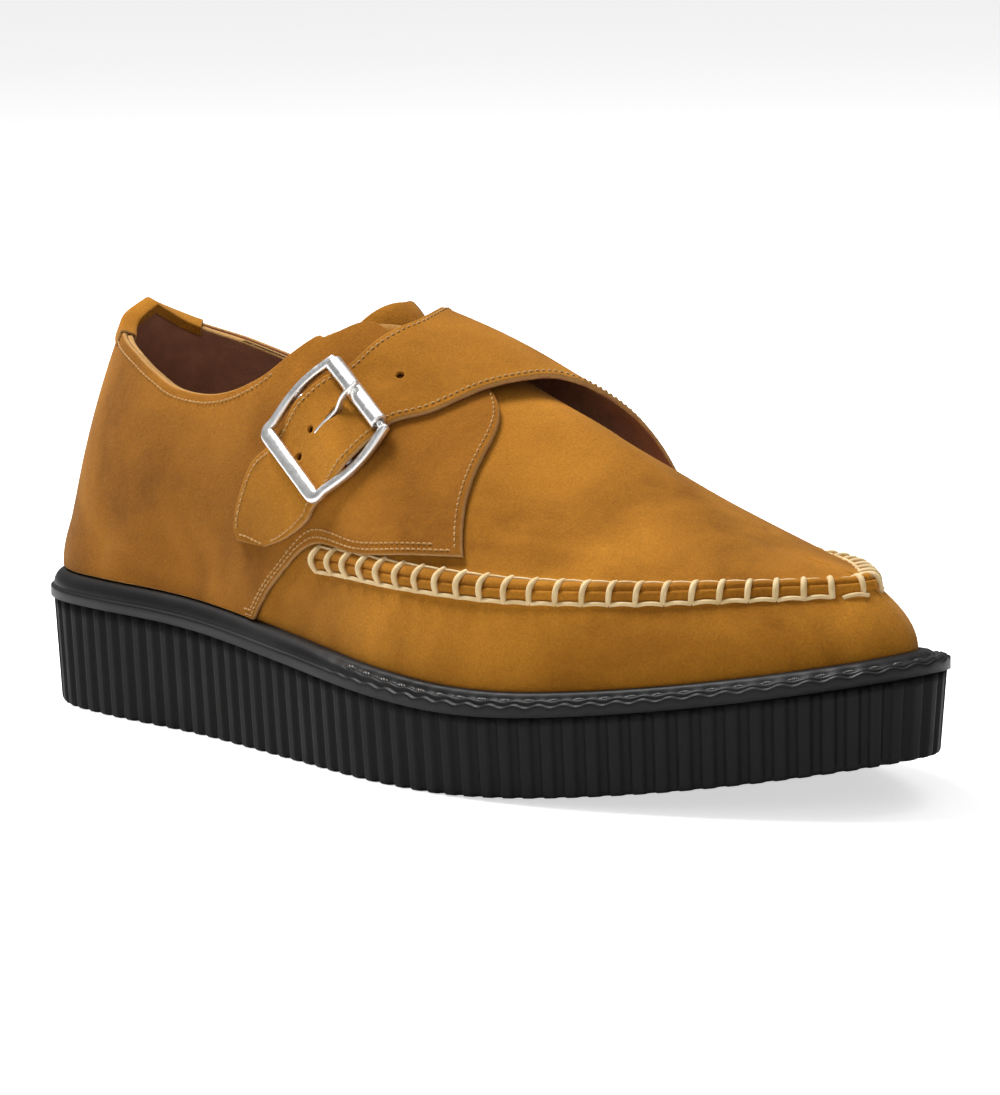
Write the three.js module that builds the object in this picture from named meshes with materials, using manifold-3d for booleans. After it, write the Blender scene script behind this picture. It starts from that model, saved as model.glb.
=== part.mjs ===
// Creeper shoe with a buckled strap, the right shoe of a pair.
// Millimetres. The toe points along +X, the inner (medial) side is +Y and up is +Z.
// The origin is on the floor, under the middle of the sole's length.
import * as THREE from 'three';
import Module from 'manifold-3d';
import { mergeVertices } from 'three/addons/utils/BufferGeometryUtils.js';

const wasm = await Module();
wasm.setup();

// Driving sizes of the sole
const LENGTH = 300;
const BALL_WIDTH = 112;
const HEEL_WALL = 30;
const BALL_WALL = 21;
const WALL_FALL_START = -100;
const WALL_FALL_END = 70;
const TOE_SPRING = 14;
const SPRING_START = 30;
const SPRING_POWER = 1.8;
const SIDE_TAPER = 1.6;
const BOTTOM_BEVEL = 1.4;
const RIB_PITCH = 6.1;
const RIB_DEPTH = 1.2;
const RIB_CREST_SHARE = 0.4;
const RIB_FLANK_SHARE = 0.15;
const CAP_INSET = 5;

// Driving sizes of the welt
const WELT_OVERHANG = 0.9;
const WELT_FACE = 3.4;
const WELT_RISE_HEEL = 4.4;
const WELT_RISE_BALL = 2.6;
const WELT_WIDTH_HEEL = 5.6;
const WELT_WIDTH_BALL = 6.4;
const WELT_WIDEN_TOE = 2;
const WIDEN_START = 90;
const WIDEN_END = 148;

// Driving sizes of the upper
const INSTEP_HEIGHT = 114;
const UPPER_WALL = 1.7;
const APRON_RIDGE_HEIGHT = 2;
const APRON_RIDGE_WIDTH = 4.6;
const APRON_HEIGHT = 56;
const APRON_START = 0.458;
const APRON_FADE = 0.03;
const SECTION_FULLNESS = 1.4;
const PANEL_THICKNESS = 1.4;
const INSOLE_THICKNESS = 3;
const INSOLE_CLEARANCE = 0.6;
const FIT_GAP = 0.3;
const PANEL_GAP = 0.55;
const TONGUE_GAP = 0.8;

// Tongue, as along and girth on the last, and how far its middle stands off the last
const TONGUE_TOP = 0.428;
const TONGUE_ROUNDING = 0.085;
const TONGUE_END = 0.6;
const TONGUE_COLUMNS = [-2, -1.5, -1, -0.5, 0, 0.5, 1, 1.5, 2];
const TONGUE_DIP = 1.4;
const TONGUE_EASE = 0.6;
const TONGUE_FILL = 0.9;
const TONGUE_RISE = 1;

// Bow of the outer quarter's front edge: its peak lies high on the row
const BOW_POWER = 4;
const BOW_SCALE = 12.2;

// Driving sizes of the heel tab, folded over the collar
const TAB_REACH = 0.1;
const TAB_THICKNESS = 0.8;
const TAB_DROP_OUTSIDE = 4;
const TAB_DROP_INSIDE = 2.6;

// Driving sizes of the buckle; heights are off the plane through its corners on the last
const BUCKLE_LENGTH = 31;
const BUCKLE_WIDTH = 32;
const PLATE_LOW = 4.9;
const PLATE_THICKNESS = 2.6;
const END_BAR_WIDTH = 4.4;
const SIDE_BAR_WIDTH = 2.8;
const CHEEK_WIDTH = 1.2;
const CORNER_RADIUS = 3.5;
const INNER_RADIUS = 1;
const CENTRE_BAR_LOW = 4.9;
const CENTRE_BAR_THICKNESS = 1.8;
const CENTRE_BAR_WIDTH = 2.4;
const ROD_RADIUS = 0.9;
const ROLLER_BORE = 1.25;
const ROLLER_RADIUS = 2.3;
const ROLLER_HEIGHT = 7.0;
const PRONG_THICKNESS = 1;
const PRONG_WIDTH = 2.2;
const HOLE_RADIUS = 1.3;
const HOLE_DEPTH = 20;

// How finely curves are followed
const SKIN_STEP = 0.004;
const WELD = 1e-4;
const SIDE_STEPS = 48;
const LOW_STEPS = 2;
const HIGH_STEPS = 5;
const BEAD_STEPS = 3;
const WELT_STEPS = 46;
const INSOLE_STEPS = 26;
const TONGUE_STEPS = 10;
const QUARTER_STEPS = 32;
const PANEL_CELLS = 7;
const STRAP_STEPS = 48;
const STRAP_CELLS = 6;
const TAB_STEPS = 12;
const ROUND_STEPS = 14;
const CORNER_STEPS = 5;

// Half outline of the sole: along is a share of the length from the middle,
// outer and inner are shares of the ball width from the line heel to toe.
const OUTLINE = [
  { along: -0.487, outer: 0.165, inner: 0.165 },
  { along: -0.447, outer: 0.255, inner: 0.275 },
  { along: -0.373, outer: 0.305, inner: 0.335 },
  { along: -0.233, outer: 0.348, inner: 0.335 },
  { along: -0.083, outer: 0.436, inner: 0.338 },
  { along: 0.060, outer: 0.516, inner: 0.403 },
  { along: 0.183, outer: 0.511, inner: 0.475 },
  { along: 0.300, outer: 0.408, inner: 0.462 },
  { along: 0.383, outer: 0.293, inner: 0.380 },
  { along: 0.450, outer: 0.170, inner: 0.255 },
  { along: 0.488, outer: 0.065, inner: 0.150 },
];
const TOE_POINT_SIDE = 0.062;

// Ridge of the last. along: share of the outline from heel to toe; ridge: where the
// section's top lies, as a share of the length from the middle; side: its shift to the
// inner side as a share of the ball width; top: its height as a share of the instep height.
const RIDGE = [
  { along: 0.00, ridge: -0.360, side: 0.010, top: 1.245 },
  { along: 0.08, ridge: -0.345, side: 0.010, top: 1.245 },
  { along: 0.16, ridge: -0.295, side: 0.010, top: 1.235 },
  { along: 0.26, ridge: -0.225, side: 0.010, top: 1.205 },
  { along: 0.36, ridge: -0.145, side: 0.010, top: 1.120 },
  { along: 0.46, ridge: -0.060, side: 0.010, top: 1.000 },
  { along: 0.56, ridge: 0.043, side: 0.020, top: 0.882 },
  { along: 0.66, ridge: 0.138, side: 0.030, top: 0.782 },
  { along: 0.76, ridge: 0.230, side: 0.045, top: 0.668 },
  { along: 0.86, ridge: 0.310, side: 0.055, top: 0.568 },
  { along: 1.00, ridge: 0.372, side: 0.060, top: 0.520 },
];

// Sections of the last below the ridge. tuck: how far the shoulder lies inside the lower
// edge, as a share of the ball width; shoulder: its height as a share of the apron height;
// swell: how far the wall below it bellies out, as a share of the ball width; reach and
// rise: powers of the curve from the shoulder to the ridge, 1 a round dome, 2 a straight roof.
const SECTION = [
  { along: 0.00, tuck: 0.014, shoulder: 0.90, swell: 0.010, reach: 1.38, rise: 1.90 },
  { along: 0.08, tuck: 0.010, shoulder: 0.90, swell: 0.010, reach: 1.35, rise: 1.70 },
  { along: 0.16, tuck: -0.004, shoulder: 0.90, swell: 0.010, reach: 1.28, rise: 1.30 },
  { along: 0.26, tuck: -0.018, shoulder: 0.92, swell: 0.010, reach: 1.20, rise: 1.05 },
  { along: 0.36, tuck: -0.015, shoulder: 0.94, swell: 0.014, reach: 1.00, rise: 1.05 },
  { along: 0.46, tuck: 0.005, shoulder: 0.98, swell: 0.018, reach: 1.10, rise: 1.20 },
  { along: 0.56, tuck: 0.020, shoulder: 0.97, swell: 0.022, reach: 1.40, rise: 1.45 },
  { along: 0.66, tuck: 0.035, shoulder: 0.96, swell: 0.025, reach: 1.60, rise: 1.60 },
  { along: 0.76, tuck: 0.055, shoulder: 0.97, swell: 0.028, reach: 1.70, rise: 1.70 },
  { along: 0.86, tuck: 0.080, shoulder: 0.99, swell: 0.030, reach: 1.60, rise: 1.60 },
  { along: 1.00, tuck: 0.105, shoulder: 1.01, swell: 0.020, reach: 1.20, rise: 1.20 },
];
// The share of a section's rows that lies below its shoulder
const SHOULDER_UP = 0.3;

// The collar's edge: how far up the section it lies. At the last row it reaches the ridge,
// where the throat of the upper closes.
const COLLAR = [
  { along: 0.000, up: 0.722 },
  { along: 0.080, up: 0.675 },
  { along: 0.160, up: 0.603 },
  { along: 0.200, up: 0.567 },
  { along: 0.235, up: 0.539 },
  { along: 0.270, up: 0.530 },
  { along: 0.300, up: 0.539 },
  { along: 0.330, up: 0.568 },
  { along: 0.360, up: 0.622 },
  { along: 0.400, up: 0.750 },
  { along: 0.440, up: 0.870 },
  { along: 0.490, up: 1.000 },
];
const THROAT = COLLAR[COLLAR.length - 1].along;

// Outer quarter, in rows from the heel to its free front edge. Each row runs from its top
// edge to its low edge, given as along and up on the last: up 1 ends at the collar, low 0
// at the welt. bow pushes the row's upper part forward.
const OUTER_QUARTER = [
  { row: 0.00, topAlong: 0.000, top: 1.000, lowAlong: 0.000, low: 0.000, bow: 0.000 },
  { row: 0.25, topAlong: 0.170, top: 1.000, lowAlong: 0.170, low: 0.000, bow: 0.000 },
  { row: 0.42, topAlong: 0.280, top: 1.000, lowAlong: 0.285, low: 0.000, bow: 0.000 },
  { row: 0.52, topAlong: 0.335, top: 1.000, lowAlong: 0.348, low: 0.000, bow: 0.000 },
  { row: 0.60, topAlong: 0.362, top: 1.000, lowAlong: 0.368, low: 0.105, bow: 0.000 },
  { row: 0.67, topAlong: 0.393, top: 0.715, lowAlong: 0.400, low: 0.235, bow: 0.000 },
  { row: 0.74, topAlong: 0.430, top: 0.800, lowAlong: 0.440, low: 0.338, bow: 0.000 },
  { row: 0.83, topAlong: 0.470, top: 0.840, lowAlong: 0.500, low: 0.350, bow: 0.004 },
  { row: 0.92, topAlong: 0.512, top: 0.855, lowAlong: 0.557, low: 0.395, bow: 0.012 },
  { row: 1.00, topAlong: 0.552, top: 0.858, lowAlong: 0.611, low: 0.430, bow: 0.019 },
];

// Inner quarter and strap, in rows from the heel over the instep to the strap's tip. Each
// row runs from its rear edge to its front edge, given as along and girth on the last. The
// collar bounds the rear edges up to the row STRAP_LEAVE, the welt the front edges.
const STRAP = [
  { row: 0.00, rearAlong: 0.0006, rearGirth: 0.300, frontAlong: 0.0006, frontGirth: 1.000 },
  { row: 0.18, rearAlong: 0.1700, rearGirth: 0.400, frontAlong: 0.1700, frontGirth: 1.000 },
  { row: 0.29, rearAlong: 0.2800, rearGirth: 0.460, frontAlong: 0.2900, frontGirth: 1.000 },
  { row: 0.35, rearAlong: 0.3350, rearGirth: 0.420, frontAlong: 0.3650, frontGirth: 1.000 },
  { row: 0.38, rearAlong: 0.3620, rearGirth: 0.370, frontAlong: 0.3880, frontGirth: 0.860 },
  { row: 0.41, rearAlong: 0.3780, rearGirth: 0.320, frontAlong: 0.4120, frontGirth: 0.775 },
  { row: 0.44, rearAlong: 0.3900, rearGirth: 0.280, frontAlong: 0.4360, frontGirth: 0.701 },
  { row: 0.47, rearAlong: 0.4020, rearGirth: 0.250, frontAlong: 0.4700, frontGirth: 0.620 },
  { row: 0.50, rearAlong: 0.4150, rearGirth: 0.228, frontAlong: 0.5450, frontGirth: 0.594 },
  { row: 0.53, rearAlong: 0.4280, rearGirth: 0.205, frontAlong: 0.6180, frontGirth: 0.556 },
  { row: 0.56, rearAlong: 0.4400, rearGirth: 0.150, frontAlong: 0.6120, frontGirth: 0.450 },
  { row: 0.59, rearAlong: 0.4490, rearGirth: 0.085, frontAlong: 0.6050, frontGirth: 0.320 },
  { row: 0.61, rearAlong: 0.4570, rearGirth: 0.030, frontAlong: 0.5970, frontGirth: 0.220 },
  { row: 0.64, rearAlong: 0.4620, rearGirth: -0.030, frontAlong: 0.5890, frontGirth: 0.080 },
  { row: 0.67, rearAlong: 0.4630, rearGirth: -0.085, frontAlong: 0.5770, frontGirth: -0.055 },
  { row: 0.70, rearAlong: 0.4570, rearGirth: -0.150, frontAlong: 0.5530, frontGirth: -0.180 },
  { row: 0.73, rearAlong: 0.4490, rearGirth: -0.215, frontAlong: 0.5290, frontGirth: -0.282 },
  { row: 0.76, rearAlong: 0.4400, rearGirth: -0.290, frontAlong: 0.5000, frontGirth: -0.348 },
  { row: 0.80, rearAlong: 0.4260, rearGirth: -0.344, frontAlong: 0.4875, frontGirth: -0.405 },
  { row: 0.83, rearAlong: 0.4125, rearGirth: -0.396, frontAlong: 0.4745, frontGirth: -0.463 },
  { row: 0.87, rearAlong: 0.3990, rearGirth: -0.448, frontAlong: 0.4600, frontGirth: -0.520 },
  { row: 0.90, rearAlong: 0.3850, rearGirth: -0.500, frontAlong: 0.4460, frontGirth: -0.578 },
  { row: 0.93, rearAlong: 0.3640, rearGirth: -0.545, frontAlong: 0.4410, frontGirth: -0.605 },
  { row: 0.95, rearAlong: 0.3530, rearGirth: -0.600, frontAlong: 0.4280, frontGirth: -0.635 },
  { row: 0.98, rearAlong: 0.3475, rearGirth: -0.648, frontAlong: 0.4080, frontGirth: -0.664 },
  { row: 1.00, rearAlong: 0.3520, rearGirth: -0.677, frontAlong: 0.3880, frontGirth: -0.682 },
];
const STRAP_LEAVE = 0.47;

// How far the strap's under face stands off the last, past the usual gap, as a share of a
// panel's thickness: over the tongue, over the outer quarter and over the buckle's bar.
// crown is how much more its middle stands off than its two edges.
const STRAP_LIFT = [
  { row: 0.00, rear: 0.00, front: 0.00, crown: 0.00 },
  { row: 0.44, rear: 0.00, front: 0.00, crown: 0.00 },
  { row: 0.50, rear: 0.10, front: 0.00, crown: 0.20 },
  { row: 0.53, rear: 0.50, front: 1.80, crown: 0.60 },
  { row: 0.56, rear: 1.00, front: 5.00, crown: 1.00 },
  { row: 0.59, rear: 1.30, front: 5.90, crown: 1.00 },
  { row: 0.61, rear: 1.30, front: 5.10, crown: 1.00 },
  { row: 0.64, rear: 1.25, front: 3.30, crown: 0.90 },
  { row: 0.67, rear: 1.25, front: 2.10, crown: 0.70 },
  { row: 0.70, rear: 1.25, front: 1.50, crown: 0.30 },
  { row: 0.73, rear: 1.25, front: 1.30, crown: 0.00 },
  { row: 0.76, rear: 1.25, front: 1.25, crown: 0.00 },
  { row: 0.78, rear: 1.30, front: 1.30, crown: 0.00 },
  { row: 0.80, rear: 2.40, front: 2.40, crown: 0.00 },
  { row: 0.82, rear: 4.15, front: 4.15, crown: 0.00 },
  { row: 0.84, rear: 4.15, front: 4.15, crown: 0.00 },
  { row: 0.86, rear: 2.30, front: 2.30, crown: 0.00 },
  { row: 0.88, rear: 1.25, front: 1.25, crown: 0.00 },
  { row: 0.90, rear: 1.25, front: 1.25, crown: 0.00 },
  { row: 1.00, rear: 1.25, front: 1.25, crown: 0.00 },
];

// The buckle's corners and the strap's holes, as along and girth on the last
const BUCKLE_CORNERS = {
  rollerRear: { along: 0.432, girth: -0.284 },
  rollerFront: { along: 0.508, girth: -0.356 },
  barFront: { along: 0.454, girth: -0.588 },
  barRear: { along: 0.377, girth: -0.490 },
};
const STRAP_HOLES = [
  { along: 0.487, girth: -0.252 },
  { along: 0.433, girth: -0.444 },
  { along: 0.422, girth: -0.500 },
];

// Smooth value of one named column of a table, at any place along its key column
function column(rows, key, name, at) {
  const last = rows.length - 1;
  let i = 0;
  while (i < last - 1 && rows[i + 1][key] < at) i += 1;
  const slope = (k) => {
    const before = rows[Math.max(k - 1, 0)];
    const after = rows[Math.min(k + 1, last)];
    return (after[name] - before[name]) / (after[key] - before[key]);
  };
  const from = rows[i];
  const to = rows[i + 1];
  const span = to[key] - from[key];
  const t = THREE.MathUtils.clamp((at - from[key]) / span, 0, 1);
  const rise = t * t * (3 - 2 * t);
  const start = t * (1 - t) * (1 - t);
  const end = t * t * (1 - t);
  return from[name] + (to[name] - from[name]) * rise
    + span * (slope(i) * start - slope(i + 1) * end);
}

// The sole's outline, a closed curve from the heel along the outer side to the toe and back
const outline = new THREE.CatmullRomCurve3([
  new THREE.Vector3(-LENGTH / 2, 0, 0),
  ...OUTLINE.map((row) => new THREE.Vector3(row.along * LENGTH, -row.outer * BALL_WIDTH, 0)),
  new THREE.Vector3(LENGTH / 2, TOE_POINT_SIDE * BALL_WIDTH, 0),
  ...[...OUTLINE].reverse().map((row) => new THREE.Vector3(row.along * LENGTH, row.inner * BALL_WIDTH, 0)),
], true, 'centripetal');
outline.arcLengthDivisions = 4 * LENGTH;
const PERIMETER = outline.getLength();
const TOE_SHARE = outline.getLengths()[outline.arcLengthDivisions / 2] / PERIMETER;

// A point of the outline moved outwards by a distance, at a share of the whole round
function roundPoint(share, outwards) {
  const place = ((share % 1) + 1) % 1;
  const point = outline.getPointAt(place);
  const run = outline.getTangentAt(place);
  return new THREE.Vector2(point.x + run.y * outwards, point.y - run.x * outwards);
}

// The same at a share of one side, from the heel to the toe. side is -1 outer, 1 inner.
function edgePoint(side, along, outwards) {
  const share = side < 0 ? along * TOE_SHARE : 1 - along * (1 - TOE_SHARE);
  return roundPoint(share, outwards);
}

function floorLift(x) {
  const t = Math.max(x - SPRING_START, 0) / (LENGTH / 2 - SPRING_START);
  return TOE_SPRING * t ** SPRING_POWER;
}

function heelToBall(x) {
  return THREE.MathUtils.smoothstep(x, WALL_FALL_START, WALL_FALL_END);
}

function weltWidth(x) {
  const extra = WELT_WIDEN_TOE * THREE.MathUtils.smoothstep(x, WIDEN_START, WIDEN_END);
  return THREE.MathUtils.lerp(WELT_WIDTH_HEEL, WELT_WIDTH_BALL, heelToBall(x)) + extra;
}

function soleTop(x) {
  return THREE.MathUtils.lerp(HEEL_WALL, BALL_WALL, heelToBall(x)) + floorLift(x);
}

// The last's skin. girth runs from -1 at the outer lower edge over 0 at the ridge to 1 at
// the inner lower edge. Past the heel or the toe it goes on round to the other side.
function lastSkin(along, girth) {
  if (along < 0) return lastSkin(-along, -girth);
  if (along > 1) return lastSkin(2 - along, -girth);
  const side = girth < 0 ? -1 : 1;
  const up = 1 - Math.abs(girth);
  const crest = (name) => column(RIDGE, 'along', name, along);
  const of = (name) => column(SECTION, 'along', name, along);
  const rim = edgePoint(side, along, 0);
  const out = edgePoint(side, along, 1).sub(rim);
  const foot = rim.clone().addScaledVector(out, -weltWidth(rim.x));
  const footZ = soleTop(foot.x) + FIT_GAP;
  const shoulder = foot.clone().addScaledVector(out, -of('tuck') * BALL_WIDTH);
  const shoulderZ = of('shoulder') * APRON_HEIGHT;
  if (up < SHOULDER_UP) {
    const climb = up / SHOULDER_UP;
    const belly = (of('swell') * Math.sin(Math.PI * climb) + of('tuck') * climb * (1 - climb)) * BALL_WIDTH;
    const at = foot.lerp(shoulder, climb).addScaledVector(out, belly);
    return new THREE.Vector3(at.x, at.y, THREE.MathUtils.lerp(footZ, shoulderZ, climb));
  }
  const turn = (up - SHOULDER_UP) / (1 - SHOULDER_UP) * Math.PI / 2;
  const reach = Math.cos(turn) ** of('reach');
  const rise = Math.sin(turn) ** of('rise');
  const ridge = new THREE.Vector3(
    crest('ridge') * LENGTH,
    crest('side') * BALL_WIDTH,
    crest('top') * INSTEP_HEIGHT,
  );
  return new THREE.Vector3(
    THREE.MathUtils.lerp(ridge.x, shoulder.x, reach),
    THREE.MathUtils.lerp(ridge.y, shoulder.y, reach),
    THREE.MathUtils.lerp(shoulderZ, ridge.z, rise),
  );
}

// A point off the last's skin, outwards along the skin's own direction
function offLast(along, girth, outwards) {
  const ahead = lastSkin(along + SKIN_STEP, girth);
  const behind = lastSkin(along - SKIN_STEP, girth);
  const over = lastSkin(along, Math.min(girth + SKIN_STEP, 1));
  const under = lastSkin(along, Math.max(girth - SKIN_STEP, -1));
  const out = ahead.sub(behind).cross(over.sub(under)).normalize();
  return lastSkin(along, girth).addScaledVector(out, outwards);
}

// How long a section of the last is, from its lower edge to its ridge
function sectionHeight(along) {
  return column(RIDGE, 'along', 'top', along) * INSTEP_HEIGHT * SECTION_FULLNESS;
}

function collarUp(along) {
  return along < THROAT ? column(COLLAR, 'along', 'up', along) : 1;
}

// The up value at a height above the last's lower edge, below the shoulder
function upAbove(along, height) {
  const shoulderZ = column(SECTION, 'along', 'shoulder', along) * APRON_HEIGHT;
  const foot = edgePoint(-1, along, 0);
  return SHOULDER_UP * height / (shoulderZ - soleTop(foot.x));
}

// Where the welt's inner edge ends on the last, raised by a clearance
function weltUp(along, clearance) {
  const foot = edgePoint(-1, along, 0);
  const rise = THREE.MathUtils.lerp(WELT_RISE_HEEL, WELT_RISE_BALL, heelToBall(foot.x));
  return upAbove(along, WELT_FACE + rise + clearance);
}

// 1 where the apron seam stands up, 0 behind its rear end
function apronShare(along) {
  return THREE.MathUtils.smoothstep(along, APRON_START - APRON_FADE, APRON_START);
}

// Closed solids from triangles
class Faces {
  constructor() {
    this.corners = [];
  }

  triangle(a, b, c) {
    const flat = a.distanceTo(b) < WELD || b.distanceTo(c) < WELD || c.distanceTo(a) < WELD;
    if (!flat) this.corners.push(...a, ...b, ...c);
  }

  quad(a, b, c, d) {
    this.triangle(a, b, c);
    this.triangle(a, c, d);
  }

  // A band between two rows of points that run the same way
  band(low, high) {
    for (let i = 0; i + 1 < low.length; i += 1) {
      this.quad(low[i], low[i + 1], high[i + 1], high[i]);
    }
  }

  // A round band between two closed rings of as many points
  ring(low, high) {
    this.band([...low, low[0]], [...high, high[0]]);
  }

  geometry() {
    const made = new THREE.BufferGeometry();
    made.setAttribute('position', new THREE.Float32BufferAttribute(this.corners, 3));
    return mergeVertices(made, WELD);
  }
}

function piece(name, geometry, colour, roughness, metalness) {
  const material = new THREE.MeshStandardMaterial({ color: colour, roughness, metalness });
  const mesh = new THREE.Mesh(geometry, material);
  mesh.name = name;
  return mesh;
}

// A closed solid between two grids of points that share their layout
function slab(outer, inner) {
  const faces = new Faces();
  const last = outer.length - 1;
  for (let i = 0; i < last; i += 1) {
    faces.band(outer[i], outer[i + 1]);
    faces.band(inner[i + 1], inner[i]);
  }
  faces.band(outer[last], inner[last]);
  faces.band(inner[0], outer[0]);
  const end = outer[0].length - 1;
  const edge = (grid, j) => grid.map((row) => row[j]);
  faces.band(edge(outer, 0), edge(inner, 0));
  faces.band(edge(inner, end), edge(outer, end));
  return faces.geometry();
}

// Even shares from one value to another
function spread(from, to, steps) {
  return Array.from({ length: steps + 1 }, (unused, i) => from + (to - from) * i / steps);
}

// Sole: a platform with a flat underside, a sprung toe and a wall of upright ribs
function makeSole() {
  const ribs = Math.round(PERIMETER / RIB_PITCH);
  const knots = [0, RIB_CREST_SHARE, RIB_CREST_SHARE + RIB_FLANK_SHARE, 1 - RIB_FLANK_SHARE];
  const ribbed = (inwards, height) => {
    const points = [];
    for (let rib = 0; rib < ribs; rib += 1) {
      knots.forEach((knot, k) => {
        const groove = k < 2 ? 0 : RIB_DEPTH;
        const at = roundPoint((rib + knot) / ribs, -inwards - groove);
        points.push(new THREE.Vector3(at.x, at.y, height(at.x)));
      });
    }
    return points;
  };
  const plain = (inwards, height) => {
    const points = [];
    for (let rib = 0; rib < ribs; rib += 1) {
      const at = roundPoint((rib + RIB_CREST_SHARE / 2) / ribs, -inwards);
      points.push(new THREE.Vector3(at.x, at.y, height(at.x)));
    }
    return points;
  };
  const faces = new Faces();
  const under = ribbed(SIDE_TAPER + BOTTOM_BEVEL, floorLift);
  const foot = ribbed(SIDE_TAPER, (x) => floorLift(x) + BOTTOM_BEVEL);
  const brim = ribbed(0, soleTop);
  faces.ring(under, foot);
  faces.ring(foot, brim);
  const cap = (rim, core, up) => {
    const flip = (a, b, c) => (up ? faces.triangle(a, b, c) : faces.triangle(a, c, b));
    for (let rib = 0; rib < ribs; rib += 1) {
      const next = core[(rib + 1) % ribs];
      const turn = (k) => rim[(rib * knots.length + k) % rim.length];
      flip(turn(0), turn(1), core[rib]);
      flip(turn(1), turn(2), core[rib]);
      flip(turn(2), next, core[rib]);
      flip(turn(2), turn(3), next);
      flip(turn(3), turn(4), next);
    }
    for (let i = 0; i < ribs / 2; i += 1) {
      const j = ribs - 1 - i;
      if (i + 1 < j) {
        flip(core[i], core[i + 1], core[j]);
        if (i + 1 < j - 1) flip(core[i + 1], core[j - 1], core[j]);
      }
    }
  };
  cap(under, plain(SIDE_TAPER + BOTTOM_BEVEL + CAP_INSET, floorLift), false);
  cap(brim, plain(CAP_INSET, soleTop), true);
  return piece('sole', faces.geometry(), 0x242424, 0.85, 0);
}

// Half the width of the apron ridge as a share of the section
function ridgeHalf(along) {
  return APRON_RIDGE_WIDTH / 2 / sectionHeight(along);
}

// Upper: the hollow shell of vamp, toe skirt and lining, open at the collar and underneath
function makeUpper() {
  const stations = [...spread(0, THROAT, SIDE_STEPS / 2), ...spread(THROAT, 1, SIDE_STEPS / 2).slice(1)];
  const levels = (along) => {
    const seam = SHOULDER_UP;
    const half = ridgeHalf(along);
    const top = collarUp(along);
    const low = spread(0, seam - half, LOW_STEPS);
    const high = spread(seam + half, top, HIGH_STEPS);
    return [...low, seam, ...high];
  };
  const crest = LOW_STEPS + 1;
  const outerRow = (side, along) => levels(along).map((up, j) => {
    const raised = j === crest ? APRON_RIDGE_HEIGHT * apronShare(along) : 0;
    return offLast(along, side * (1 - up), raised);
  });
  const innerRow = (side, along) => levels(along).filter((unused, j) => j !== crest).map((up) => (
    offLast(along, side * (1 - up), -UPPER_WALL)));
  const faces = new Faces();
  [-1, 1].forEach((side) => {
    const turn = (rows) => (side < 0 ? rows : rows.reverse());
    for (let i = 0; i + 1 < stations.length; i += 1) {
      const near = [outerRow(side, stations[i]), innerRow(side, stations[i])];
      const far = [outerRow(side, stations[i + 1]), innerRow(side, stations[i + 1])];
      const grid = (a, b) => faces.band(...turn([b, a]));
      grid(near[0], far[0]);
      grid(far[1], near[1]);
      const end = (row) => row[row.length - 1];
      const cell = (a, b, c, d) => (side < 0 ? faces.quad(a, b, c, d) : faces.quad(d, c, b, a));
      cell(near[1][0], far[1][0], far[0][0], near[0][0]);
      if (stations[i] < THROAT) cell(end(near[0]), end(far[0]), end(far[1]), end(near[1]));
    }
  });
  return piece('upper', faces.geometry(), 0xb0752a, 0.95, 0);
}

// Welt: a strip on the sole's rim with a flat face and a rounded rise up the last's foot
function makeWelt() {
  const faces = new Faces();
  const section = (side, along) => {
    const low = edgePoint(side, along, WELT_OVERHANG);
    const brim = soleTop(low.x);
    const inTop = offLast(along, side * (1 - weltUp(along, 0)), FIT_GAP);
    const inLow = offLast(along, side, FIT_GAP);
    const foot = new THREE.Vector3(low.x, low.y, brim + FIT_GAP);
    const face = new THREE.Vector3(low.x, low.y, brim + WELT_FACE);
    const bead = spread(0, Math.PI / 2, BEAD_STEPS).slice(1).map((turn) => new THREE.Vector3(
      THREE.MathUtils.lerp(face.x, inTop.x, 1 - Math.cos(turn)),
      THREE.MathUtils.lerp(face.y, inTop.y, 1 - Math.cos(turn)),
      THREE.MathUtils.lerp(face.z, inTop.z, Math.sin(turn)),
    ));
    return [foot, face, ...bead, new THREE.Vector3(inLow.x, inLow.y, brim + FIT_GAP)];
  };
  const shares = spread(0, 1, WELT_STEPS);
  const round = [
    ...shares.map((along) => section(-1, along)),
    ...shares.slice(1, -1).reverse().map((along) => section(1, along)),
  ];
  round.forEach((here, i) => faces.ring(round[(i + 1) % round.length], here));
  return piece('welt', faces.geometry(), 0x2c2c2e, 0.5, 0);
}

// Insole: the board and sock in the bottom of the upper
function makeInsole() {
  const inset = UPPER_WALL + INSOLE_CLEARANCE;
  const grid = (height) => spread(0, 1, INSOLE_STEPS).map((along) => [-1, 1].map((side) => {
    const at = offLast(along, side, -inset);
    return new THREE.Vector3(at.x, at.y, soleTop(at.x) + height);
  }));
  return piece('insole', slab(grid(FIT_GAP), grid(FIT_GAP + INSOLE_THICKNESS)), 0x5b4636, 0.8, 0);
}

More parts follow.
